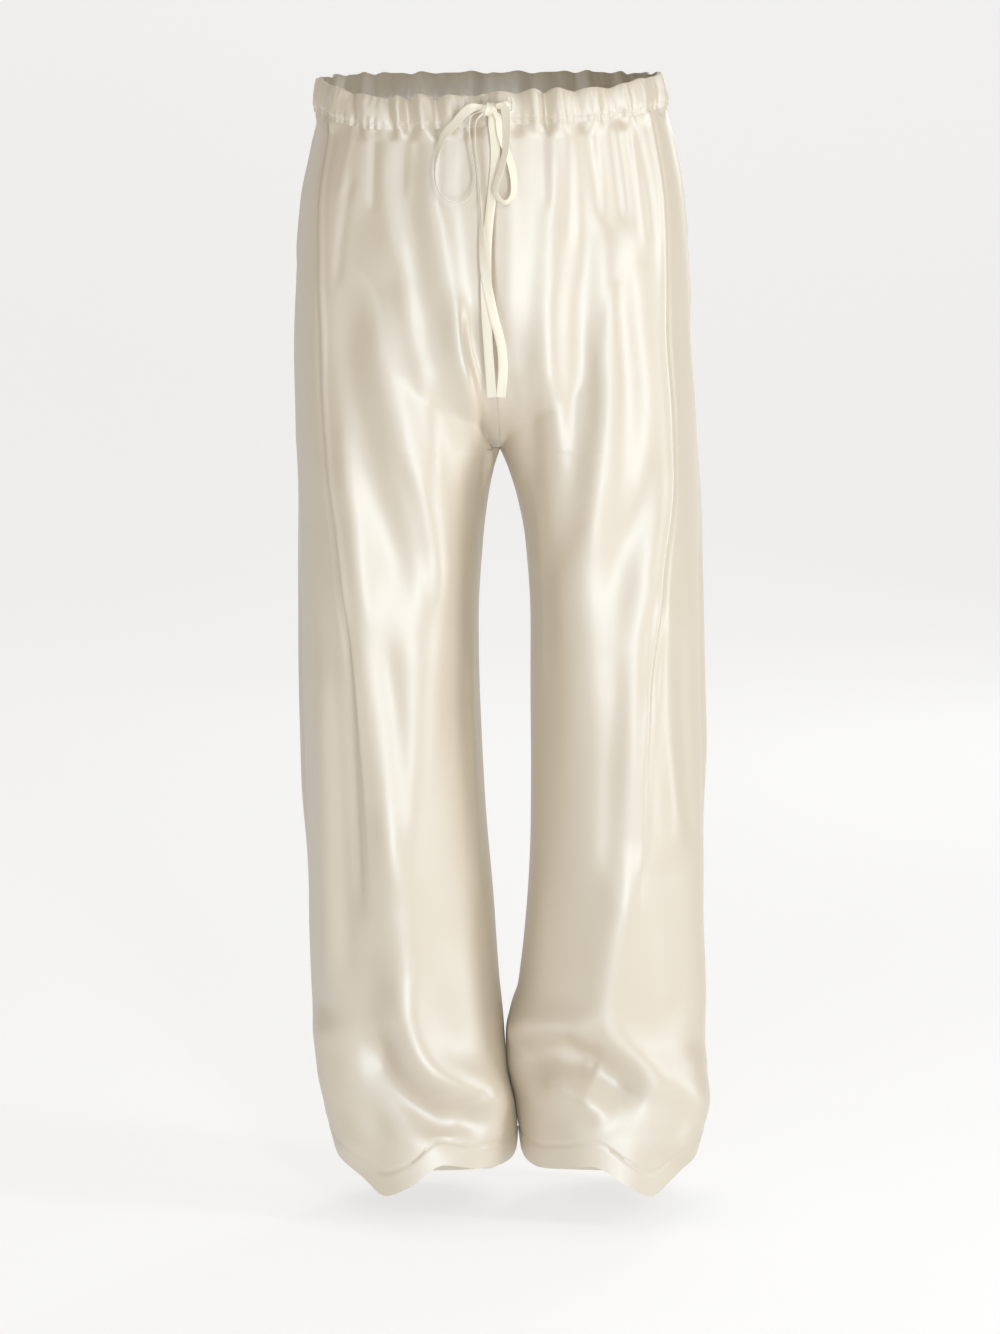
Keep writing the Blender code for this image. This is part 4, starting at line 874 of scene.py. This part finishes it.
def shell(outside, inside):
    """A closed thin wall between two grids of points."""
    rows, columns = outside.shape[:2]
    count = rows * columns
    points = np.concatenate([outside.reshape(-1, 3), inside.reshape(-1, 3)])
    loop = rim_loop(rows, columns)
    ahead = np.roll(loop, -1)
    rim = np.stack([loop, loop + count, ahead + count, ahead], axis=1)
    quads = [grid_quads(rows, columns), grid_quads(rows, columns, count, flip=True), rim]
    return points, np.concatenate(quads)


def casing_points(face):
    """The outside points of one half of the casing, from side seam to side seam, foot first."""
    share = np.linspace(0.0, 1.0, CASING_ROWS + 1)[:, None]
    columns = CASING_COLUMNS[face] + 1
    bases = {}
    lifts = {}
    for side in SIDES:
        z = CASING_FOOT_Z + (CASING_TOP_Z - CASING_FOOT_Z) * np.repeat(share, columns, axis=1)
        turn = turns_to_seam(side, face, z[:, 0], z, np.linspace(0.0, 1.0, columns))
        degrees = np.degrees(turn)
        z = z + smooth_table(WAIST_RISE, side, degrees)
        gathered = cloth_lift(GATHERS[side] + back_gathers(side), turn, z)
        z = z + CASING_WAVE * share * gathered
        bases[side] = places(side, turn, z, cloth_lift(FOLDS[side], turn, z, FOLD_SOFTNESS))
        lifts[side] = gathered + puckers(side, degrees, share)
    base = across_middle(bases)
    tunnel = CASING_BULGE * np.sin(math.pi * share) ** CASING_ROUNDNESS
    stitch = CASING_STITCH_DEPTH * bell(share - CASING_STITCH_SHARE, CASING_STITCH_WIDTH)
    lift = across_middle(lifts) + tunnel - stitch
    normal = level_normals(base, FACES[face])
    outside = base + normal * lift[..., None]
    inside = base + normal * (CASING_INNER_SHARE * lift - CASING_WALL)[..., None]
    return outside, inside


def across_middle(halves):
    """Both sides' columns in one row, from the right side seam to the left, and joined between."""
    middle = (halves["left"][:, :1] + halves["right"][:, :1]) / 2
    return np.concatenate([halves["right"][:, :0:-1], middle, halves["left"][:, 1:]], axis=1)


def puckers(side, degrees, share):
    """Short wrinkles that the casing's two stitch lines draw up."""
    phase = np.radians(degrees)
    waves = 0
    for wave in PUCKER_WAVES:
        bend = wave.bend * np.sin(wave.bend_count * phase + wave.shift * SIDES[side])
        waves = waves + wave.strength * np.sin(wave.count * phase + bend)
    near = sum(line.strength * bell(share - line.share, line.reach) for line in PUCKER_LINES)
    return PUCKER_HEIGHT * waves * near


def back_gathers(side):
    """The waist's gathers behind, in turn out and in, none quite like the next."""
    step = (BACK_GATHERS_TO - BACK_GATHERS_FROM) / (BACK_GATHERS - 1)
    rows = []
    for number in range(BACK_GATHERS):
        wave = math.sin(BACK_GATHER_PHASE * number + SIDES[side])
        foot = BACK_GATHERS_FROM + (number + BACK_GATHER_SHIFT * wave) * step
        top = foot + BACK_GATHER_SLANT * wave
        height = BACK_GATHER_RIDGE if number % 2 else BACK_GATHER_VALLEY
        height *= 1 + BACK_GATHER_UNEVENNESS * wave
        ends = (BACK_GATHER_TOP, top), (BACK_GATHER_FOOT, foot)
        rows.append((BACK_GATHER_WIDTH, height, *ends))
    return rows


def hem_ring(points, side):
    """The last rows of both panels of a leg, once round it from the inseam."""
    rows = slice(-(ROWS_ON_TURNING + 1), None)
    front, back = points["front", side][rows], points["back", side][rows]
    return np.concatenate([front, back[:, -2:0:-1]], axis=1)


def closed_ring(outside, inside):
    """A closed ring-shaped wall between two grids whose last column meets the first."""
    sections = np.concatenate([outside, inside[::-1]]).transpose(1, 0, 2)
    return tube(sections, closed=True)


def tube(rings, closed=False):
    """A solid through closed rings of points, with flat ends, or without ends where it is a loop."""
    count, corners = rings.shape[:2]
    here = np.arange(corners)
    ahead = np.roll(here, -1)
    quads = []
    for ring in range(count if closed else count - 1):
        a, b = ring * corners, (ring + 1) % count * corners
        quads.append(np.stack([a + here, a + ahead, b + ahead, b + here], axis=1))
    faces = np.concatenate(quads).tolist()
    if not closed:
        faces.append(here[::-1].tolist())
        faces.append((here + (count - 1) * corners).tolist())
    return rings.reshape(-1, 3), faces


def tape_route(knots):
    """Points, and the tape's turn at each, close together along a route."""
    rough = smooth_path(knots, ROUTE_STEPS)
    walked = distances(rough[:, :3])
    count = max(LEAST_TAPE_STEPS, round(walked[-1] / TAPE_STEP))
    at = np.linspace(0.0, walked[-1], count + 1)
    even = np.stack([np.interp(at, walked, column) for column in rough.T], axis=1)
    return even[:, :3], np.radians(even[:, 3]), at


def tape_section():
    """The tape's section: flat, with rounded edges that are a little thicker than its middle."""
    angles = 2 * math.pi * (np.arange(TAPE_SIDES) + 0.5) / TAPE_SIDES
    wide = np.sign(np.cos(angles)) * np.abs(np.cos(angles)) ** TAPE_EDGE_ROUNDNESS
    thick = np.sin(angles) * (TAPE_MIDDLE + TAPE_EDGE_RISE * np.abs(wide) ** TAPE_EDGE_GROWTH)
    return wide, thick


def tape(knots, pinched_start, pinched_end, upright=False):
    """A flat tape along a route, drawn together into lengthwise pleats where it enters the knot."""
    centres, faces, walked = tape_route(knots)
    tangents = np.gradient(centres, axis=0)
    tangents /= np.linalg.norm(tangents, axis=1)[:, None]
    if upright:
        across = np.array([0.0, 0.0, 1.0]) - tangents[:, 2:] * tangents
    else:
        across = np.cross(tangents, [0.0, 1.0, 0.0])
    across /= np.linalg.norm(across, axis=1)[:, None]
    through = np.cross(tangents, across)
    cosine, sine = np.cos(faces)[:, None], np.sin(faces)[:, None]
    across, through = across * cosine + through * sine, through * cosine - across * sine
    open_share = np.ones(len(centres))
    for pinched, distance in ((pinched_start, walked), (pinched_end, walked[-1] - walked)):
        if pinched:
            open_share *= smooth_step(0.0, PINCH_LENGTH, distance)
    width = TAPE_WIDTH * (PINCH + (1 - PINCH) * open_share)
    wide, thick = tape_section()
    pleat = PLEAT_HEIGHT * (1 - open_share)[:, None] * np.cos(2 * math.pi * wide)[None, :]
    curl = TAPE_CURL * np.sin(walked / TAPE_CURL_LENGTH)[:, None] * (wide**2)[None, :]
    offset_wide = width[:, None] / 2 * wide[None, :]
    offset_thick = TAPE_THICKNESS / 2 * thick[None, :] + pleat + curl
    rings = (
        centres[:, None]
        + across[:, None] * offset_wide[..., None]
        + through[:, None] * offset_thick[..., None]
    )
    points, quads = tube(rings)
    return points, quads, centres


def knot_lump():
    """The body of the knot: a small lump with the pleats of the tape drawn through it."""
    turns = 2 * math.pi * np.arange(KNOT_CORNERS) / KNOT_CORNERS
    rings = []
    for ring in range(KNOT_RINGS + 1):
        angle = math.pi * (ring + KNOT_END_GAP) / (KNOT_RINGS + 2 * KNOT_END_GAP)
        pleats = KNOT_PLEAT_DEPTH * np.cos(KNOT_PLEATS * turns + KNOT_PLEAT_TWIST * math.cos(angle))
        pleats = 1 + pleats + KNOT_CREASE_DEPTH * np.sin(KNOT_CREASES * turns)
        radius = math.sin(angle) ** KNOT_ROUNDNESS * pleats
        x = np.full(KNOT_CORNERS, -KNOT_HALF_SIZE[0] * math.cos(angle))
        y = KNOT_HALF_SIZE[1] * radius * np.cos(turns)
        z = KNOT_HALF_SIZE[2] * radius * np.sin(turns)
        rings.append(np.stack([x, y, z], axis=-1) + KNOT_CENTRE)
    return tube(np.array(rings))


def knot_band():
    """The turn of tape that goes over the knot's middle."""
    wide, thick = tape_section()
    slope = math.tan(math.radians(KNOT_BAND_TILT))
    half_breadth, half_depth, half_height = KNOT_BAND_HALF_SIZE
    rings = []
    for angle in 2 * math.pi * np.arange(KNOT_BAND_STEPS) / KNOT_BAND_STEPS:
        out = np.array([0.0, math.cos(angle), math.sin(angle)])
        middle = out * (0.0, half_depth, half_height)
        breadth = half_breadth * (1 + KNOT_BAND_WAVER * math.cos(KNOT_BAND_WAVES * angle))
        lift = KNOT_BAND_THICKNESS / 2 * thick + KNOT_BAND_PLEAT * np.cos(2 * math.pi * wide)
        ring = middle[None, :] + out[None, :] * lift[:, None]
        ring[:, 0] = breadth * wide + slope * middle[2]
        rings.append(ring + KNOT_CENTRE)
    return tube(np.array(rings), closed=True)


def bar(start, end, outward, thickness):
    """One stitch: a short thread that rises from the cloth at both ends."""
    start, end, outward = np.array(start), np.array(end), np.array(outward)
    run = end - start
    side = np.cross(run, outward)
    side /= np.linalg.norm(side)
    rings = []
    for part in STITCH_RINGS:
        middle = start + run * part.share + outward * part.rise * thickness
        ring = []
        for corner in range(STITCH_CORNERS):
            angle = 2 * math.pi * corner / STITCH_CORNERS
            offset = side * math.cos(angle) + outward * math.sin(angle)
            ring.append(middle + offset * thickness * part.size)
        rings.append(ring)
    return tube(np.array(rings))


def joined(solids):
    """Several solids' points and faces as one mesh's."""
    points = []
    faces = []
    start = 0
    for solid_points, solid_faces in solids:
        points.append(solid_points)
        faces += [[corner + start for corner in face] for face in solid_faces]
        start += len(solid_points)
    return np.concatenate(points), faces


def between(at, walked, points):
    """The point, or the direction, at a distance along a line."""
    return np.array([np.interp(at, walked, column) for column in points.T])


def stitch_row(line, outwards):
    """Stitches one after the other along a line of points on the cloth."""
    walked = distances(line)
    solids = []
    for number in range(int(walked[-1] / STITCH_STEP)):
        at = number * STITCH_STEP
        start, end = (between(place, walked, line) for place in (at, at + STITCH_LENGTH))
        outward = between(at + STITCH_LENGTH / 2, walked, outwards)
        outward /= np.linalg.norm(outward)
        solids.append(bar(start, end, outward, STITCH_THICKNESS))
    return joined(solids)


def buttonhole(x, z, casing):
    """Close stitches all round a slit in the casing."""
    half_run = (BUTTONHOLE_LENGTH - BUTTONHOLE_WIDTH) / 2
    solids = []
    for number in range(BUTTONHOLE_STITCHES):
        angle = 2 * math.pi * (number + 0.5) / BUTTONHOLE_STITCHES
        up = math.sin(angle)
        straight = math.copysign(half_run, up) * min(1, BUTTONHOLE_SPREAD * angle_share(angle))
        ends = []
        for reach in (BUTTONHOLE_WIDTH / 2, BUTTONHOLE_WIDTH / 2 + BUTTONHOLE_STITCH):
            point_x = x + reach * math.cos(angle)
            point_z = z + reach * up + straight
            ends.append([point_x, casing_y(casing, point_x, point_z) - BUTTONHOLE_RISE, point_z])
        solids.append(bar(ends[0], ends[1], (0.0, -1.0, 0.0), BUTTONHOLE_THREAD))
    return joined(solids)


def angle_share(angle):
    """0 straight to either side and 1 straight up or down, evenly between."""
    return 1 - abs((angle % math.pi) - math.pi / 2) / (math.pi / 2)


def casing_y(casing, x, z):
    """The y of the casing's front at a place seen from the front."""
    middle = casing.shape[1] // 2
    near = casing[:, middle - BUTTONHOLE_COLUMNS : middle + BUTTONHOLE_COLUMNS]
    rows_y = [np.interp(x, row[:, 0], row[:, 1]) for row in near]
    rows_z = [np.interp(x, row[:, 0], row[:, 2]) for row in near]
    return np.interp(z, rows_z, rows_y)


def link_object(name, data):
    """An object of the scene for a mesh, lamp or camera."""
    made = bpy.data.objects.new(name, data)
    bpy.context.scene.collection.objects.link(made)
    return made


def add_piece(name, points, faces, material, slot):
    """A mesh of the garment that rides on it."""
    mesh = bpy.data.meshes.new(name)
    mesh.from_pydata(points.tolist(), [], faces.tolist() if hasattr(faces, "tolist") else faces)
    if signed_volume(mesh) < 0:
        mesh.flip_normals()
    mesh.shade_smooth()
    mesh.set_sharp_from_angle(angle=math.radians(SHARP_EDGE_DEGREES))
    mesh.materials.append(material)
    piece = link_object(name, mesh)
    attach(piece, "root")
    return piece


def signed_volume(mesh):
    """The mesh's volume, negative where its faces point inwards."""
    mesh.calc_loop_triangles()
    points = np.empty(len(mesh.vertices) * 3)
    mesh.vertices.foreach_get("co", points)
    points = points.reshape(-1, 3)
    triangles = np.empty(len(mesh.loop_triangles) * 3, np.int32)
    mesh.loop_triangles.foreach_get("vertices", triangles)
    corners = points[triangles.reshape(-1, 3)]
    return np.einsum("ij,ij->i", corners[:, 0], np.cross(corners[:, 1], corners[:, 2])).sum()


def node(tree, kind, **values):
    """A shader node with its inputs set by name."""
    made = tree.nodes.new(kind)
    set_inputs(made, **values)
    return made


def set_inputs(target, **values):
    """Sets a node's inputs, whose names are given with _ for each space."""
    for name, value in values.items():
        target.inputs[name.replace("_", " ")].default_value = value


def cloth_material(cloth):
    """Woven satin: a fine weave and soft crinkles in the bump, and a slight unevenness of tone."""
    material = bpy.data.materials.new(cloth.name)
    material.use_nodes = True
    tree = material.node_tree
    link = tree.links.new
    shader = tree.nodes["Principled BSDF"]
    set_inputs(shader, Metallic=0.0, IOR=cloth.gloss, Specular_IOR_Level=0.5, Specular_Tint=GLOSS_TINT)
    set_inputs(shader, Sheen_Weight=SHEEN, Sheen_Roughness=SHEEN_ROUGHNESS, Sheen_Tint=SHEEN_TINT)
    place = tree.nodes.new("ShaderNodeTexCoord")
    tone = node(tree, "ShaderNodeTexNoise", Scale=TONE_SCALE, Detail=1.0)
    ramp = tree.nodes.new("ShaderNodeValToRGB")
    for number, brightness in enumerate((1 - TONE_CHANGE, 1 + TONE_CHANGE)):
        stop = ramp.color_ramp.elements[number]
        stop.position = number
        stop.color = (*(min(1.0, brightness * channel) for channel in cloth.color), 1.0)
    link(place.outputs["Object"], tone.inputs["Vector"])
    link(tone.outputs["Fac"], ramp.inputs["Fac"])
    link(ramp.outputs["Color"], shader.inputs["Base Color"])
    uneven = node(
        tree,
        "ShaderNodeMapRange",
        To_Min=cloth.roughness - ROUGHNESS_CHANGE,
        To_Max=cloth.roughness + ROUGHNESS_CHANGE,
    )
    link(tone.outputs["Fac"], uneven.inputs["Value"])
    link(uneven.outputs["Result"], shader.inputs["Roughness"])
    stretch = node(tree, "ShaderNodeMapping", Scale=CRINKLE_STRETCH)
    soft = node(tree, "ShaderNodeTexNoise", Scale=CRINKLE_SCALE, Detail=CRINKLE_DETAIL)
    set_inputs(soft, Roughness=CRINKLE_ROUGHNESS)
    link(place.outputs["Object"], stretch.inputs["Vector"])
    link(stretch.outputs["Vector"], soft.inputs["Vector"])
    wide = node(tree, "ShaderNodeBump", Strength=cloth.crinkle, Distance=CRINKLE_DEPTH)
    link(soft.outputs["Fac"], wide.inputs["Height"])
    threads = node(tree, "ShaderNodeTexWave", Scale=WEAVE_SCALE, Detail=1.0)
    set_inputs(threads, Distortion=WEAVE_DISTORTION)
    threads.wave_type = "BANDS"
    threads.bands_direction = "DIAGONAL"
    link(place.outputs["Object"], threads.inputs["Vector"])
    fine = node(tree, "ShaderNodeBump", Strength=cloth.weave, Distance=WEAVE_DEPTH)
    link(threads.outputs["Fac"], fine.inputs["Height"])
    link(wide.outputs["Normal"], fine.inputs["Normal"])
    link(fine.outputs["Normal"], shader.inputs["Normal"])
    return material


def stage_material():
    """Matt paper with an even glow."""
    material = bpy.data.materials.new("studio_paper")
    material.use_nodes = True
    shader = material.node_tree.nodes["Principled BSDF"]
    set_inputs(shader, Base_Color=STUDIO_COLOR, Roughness=STUDIO_ROUGHNESS)
    set_inputs(shader, Emission_Color=STUDIO_COLOR, Emission_Strength=STUDIO_GLOW)
    set_inputs(shader, Specular_IOR_Level=STUDIO_SPECULAR)
    return material


def add_camera():
    """The photograph's camera."""
    data = bpy.data.cameras.new("camera")
    data.lens = CAMERA_LENS_MM
    camera = link_object("camera", data)
    camera.location = CAMERA_PLACE
    camera.rotation_euler = (math.radians(90 - CAMERA_DOWN_DEGREES), 0.0, 0.0)
    bpy.context.scene.camera = camera


def add_lights():
    """Large soft lamps in front, and a pale surrounding."""
    for lamp in LAMPS:
        data = bpy.data.lights.new(lamp.name, "AREA")
        data.shape = "RECTANGLE"
        data.size = lamp.width
        data.size_y = lamp.height
        data.energy = lamp.watts
        data.color = LAMP_COLOR
        light = link_object(lamp.name, data)
        light.location = lamp.place
        x, y, z = np.array(lamp.target) - np.array(lamp.place)
        down = math.atan2(math.hypot(x, y), -z)
        light.rotation_euler = (down, 0.0, math.atan2(y, x) - math.pi / 2)
    world = bpy.data.worlds.new("surround")
    world.use_nodes = True
    background = world.node_tree.nodes["Background"]
    set_inputs(background, Color=SURROUND_COLOR, Strength=SURROUND_STRENGTH)
    bpy.context.scene.world = world
    bpy.context.scene.view_settings.view_transform = "Standard"


def add_stage():
    """A pale floor that curves up into a backdrop."""
    bend_y = BACKDROP_Y - BACKDROP_CURVE
    profile = [(-FLOOR_REACH, 0.0), (bend_y, 0.0)]
    for step in range(1, BACKDROP_STEPS + 1):
        angle = math.pi / 2 * step / BACKDROP_STEPS
        up = BACKDROP_CURVE * (1 - math.cos(angle))
        profile.append((bend_y + BACKDROP_CURVE * math.sin(angle), up))
    profile.append((BACKDROP_Y, BACKDROP_HEIGHT))
    points = [(x, y, FLOOR_Z + up) for x in (-FLOOR_REACH, FLOOR_REACH) for y, up in profile]
    count = len(profile)
    faces = [(row, row + 1, count + row + 1, count + row) for row in range(count - 1)]
    mesh = bpy.data.meshes.new("studio")
    mesh.from_pydata(points, [], faces)
    mesh.shade_smooth()
    mesh.materials.append(stage_material())
    link_object("studio", mesh)


def route(rows, starts_in_knot, ends_in_knot):
    """The drawstring's route in metres, with its ends inside the knot where they belong there."""
    knots = np.array(rows) / (MM_PER_M, MM_PER_M, MM_PER_M, 1)
    for number, tied in ((0, starts_in_knot), (-1, ends_in_knot)):
        if tied:
            away = KNOT_CENTRE - knots[number, :3]
            knots[number, :3] += INTO_KNOT * away / np.linalg.norm(away)
    return knots


def add_tape(kind, side, knots, material, **options):
    """One stretch of the drawstring, and the points that it follows."""
    points, faces, centres = tape(knots, **options)
    piece = add_piece(f"bow_{kind}_{side}", points, faces, material, "tape")
    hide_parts(f"drawstring_{kind}_{side}")
    return piece, centres


def add_drawstring(material):
    """The knot, the two leads out of the casing, and the loops and tails."""
    knot = add_piece("bow_knot", *knot_lump(), material, "tape")
    others = [knot, add_piece("bow_knot_band", *knot_band(), material, "tape")]
    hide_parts("drawstring_knot")
    for side in SIDES:
        knots = route(LEADS[side], False, True)
        lead, _ = add_tape(
            "lead", side, knots, material, pinched_start=True, pinched_end=True, upright=True
        )
        others.append(lead)
    for side in SIDES:
        knots = route(LOOPS[side], True, True)
        loop, centres = add_tape("loop", side, knots, material, pinched_start=True, pinched_end=True)
        knots = route(TAILS[side], True, False)
        tail, centres = add_tape("tail", side, knots, material, pinched_start=True, pinched_end=False)


def add_panels(points, satin):
    """The four panels of the legs and seat."""
    for (face, side), outside in points.items():
        inside = outside + SHELL * SIDES[side] * FACES[face] * grid_normals(outside)
        panel = add_piece(f"{face}_leg_cloth_{side}", *shell(outside, inside), satin, "satin")
        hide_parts(f"{face}_panel_{side}")


def add_casings(satin, thread):
    """Both halves of the waist casing, with their stitches and buttonholes."""
    for face in FACES:
        outside, inside = casing_points(face)
        casing = add_piece(f"{face}_waist_cloth", *shell(outside, inside), satin, "satin")
        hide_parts(f"waist_casing_{face}")
        line = outside[round(CASING_STITCH_SHARE * CASING_ROWS)]
        stitches = stitch_row(line, level_normals(line, FACES[face]))
        sewing = add_piece(f"{face}_waist_stitches", *stitches, thread, "thread")
        if face == "front":
            for side, (x, z) in BUTTONHOLES.items():
                ring = add_piece(f"eyelet_{side}", *buttonhole(x, z, outside), thread, "thread")
                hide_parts(f"buttonhole_{side}")


def add_hems(points, doubled, thread):
    """The turned-up hem of each leg, with its stitches."""
    for side in SIDES:
        outside = hem_ring(points, side)
        closed = np.concatenate([outside[:, -1:], outside, outside[:, :1]], axis=1)
        inward = SIDES[side] * grid_normals(closed)[:, 1:-1]
        near, far = (outside + depth * inward for depth in (HEM_INNER_GAP, HEM_INNER_GAP + HEM_SHELL))
        turning = add_piece(f"hem_cloth_{side}", *closed_ring(near, far), doubled, "satin")
        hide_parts(f"hem_turning_{side}")
        line, outwards = (np.concatenate([row, row[:1]]) for row in (outside[0], -inward[0]))
        sewing = add_piece(f"hem_stitches_{side}", *stitch_row(line, outwards), thread, "thread")


def main():
    """Makes the camera and the drawstring first, then the cloth, the lamps and the backdrop."""
    add_camera()
    add_drawstring(cloth_material(TAPE_SATIN))
    satin = cloth_material(SATIN)
    doubled = cloth_material(DOUBLED_SATIN)
    thread = cloth_material(THREAD)
    points = panel_points()
    add_panels(points, satin)
    add_casings(satin, thread)
    add_hems(points, doubled, thread)
    add_lights()
    add_stage()


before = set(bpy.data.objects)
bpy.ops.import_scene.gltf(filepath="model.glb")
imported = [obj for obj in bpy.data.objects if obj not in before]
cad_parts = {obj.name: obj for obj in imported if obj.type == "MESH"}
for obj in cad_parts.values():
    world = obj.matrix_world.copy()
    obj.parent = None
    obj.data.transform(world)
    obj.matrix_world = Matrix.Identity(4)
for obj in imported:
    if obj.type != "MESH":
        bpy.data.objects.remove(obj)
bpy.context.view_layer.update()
main()
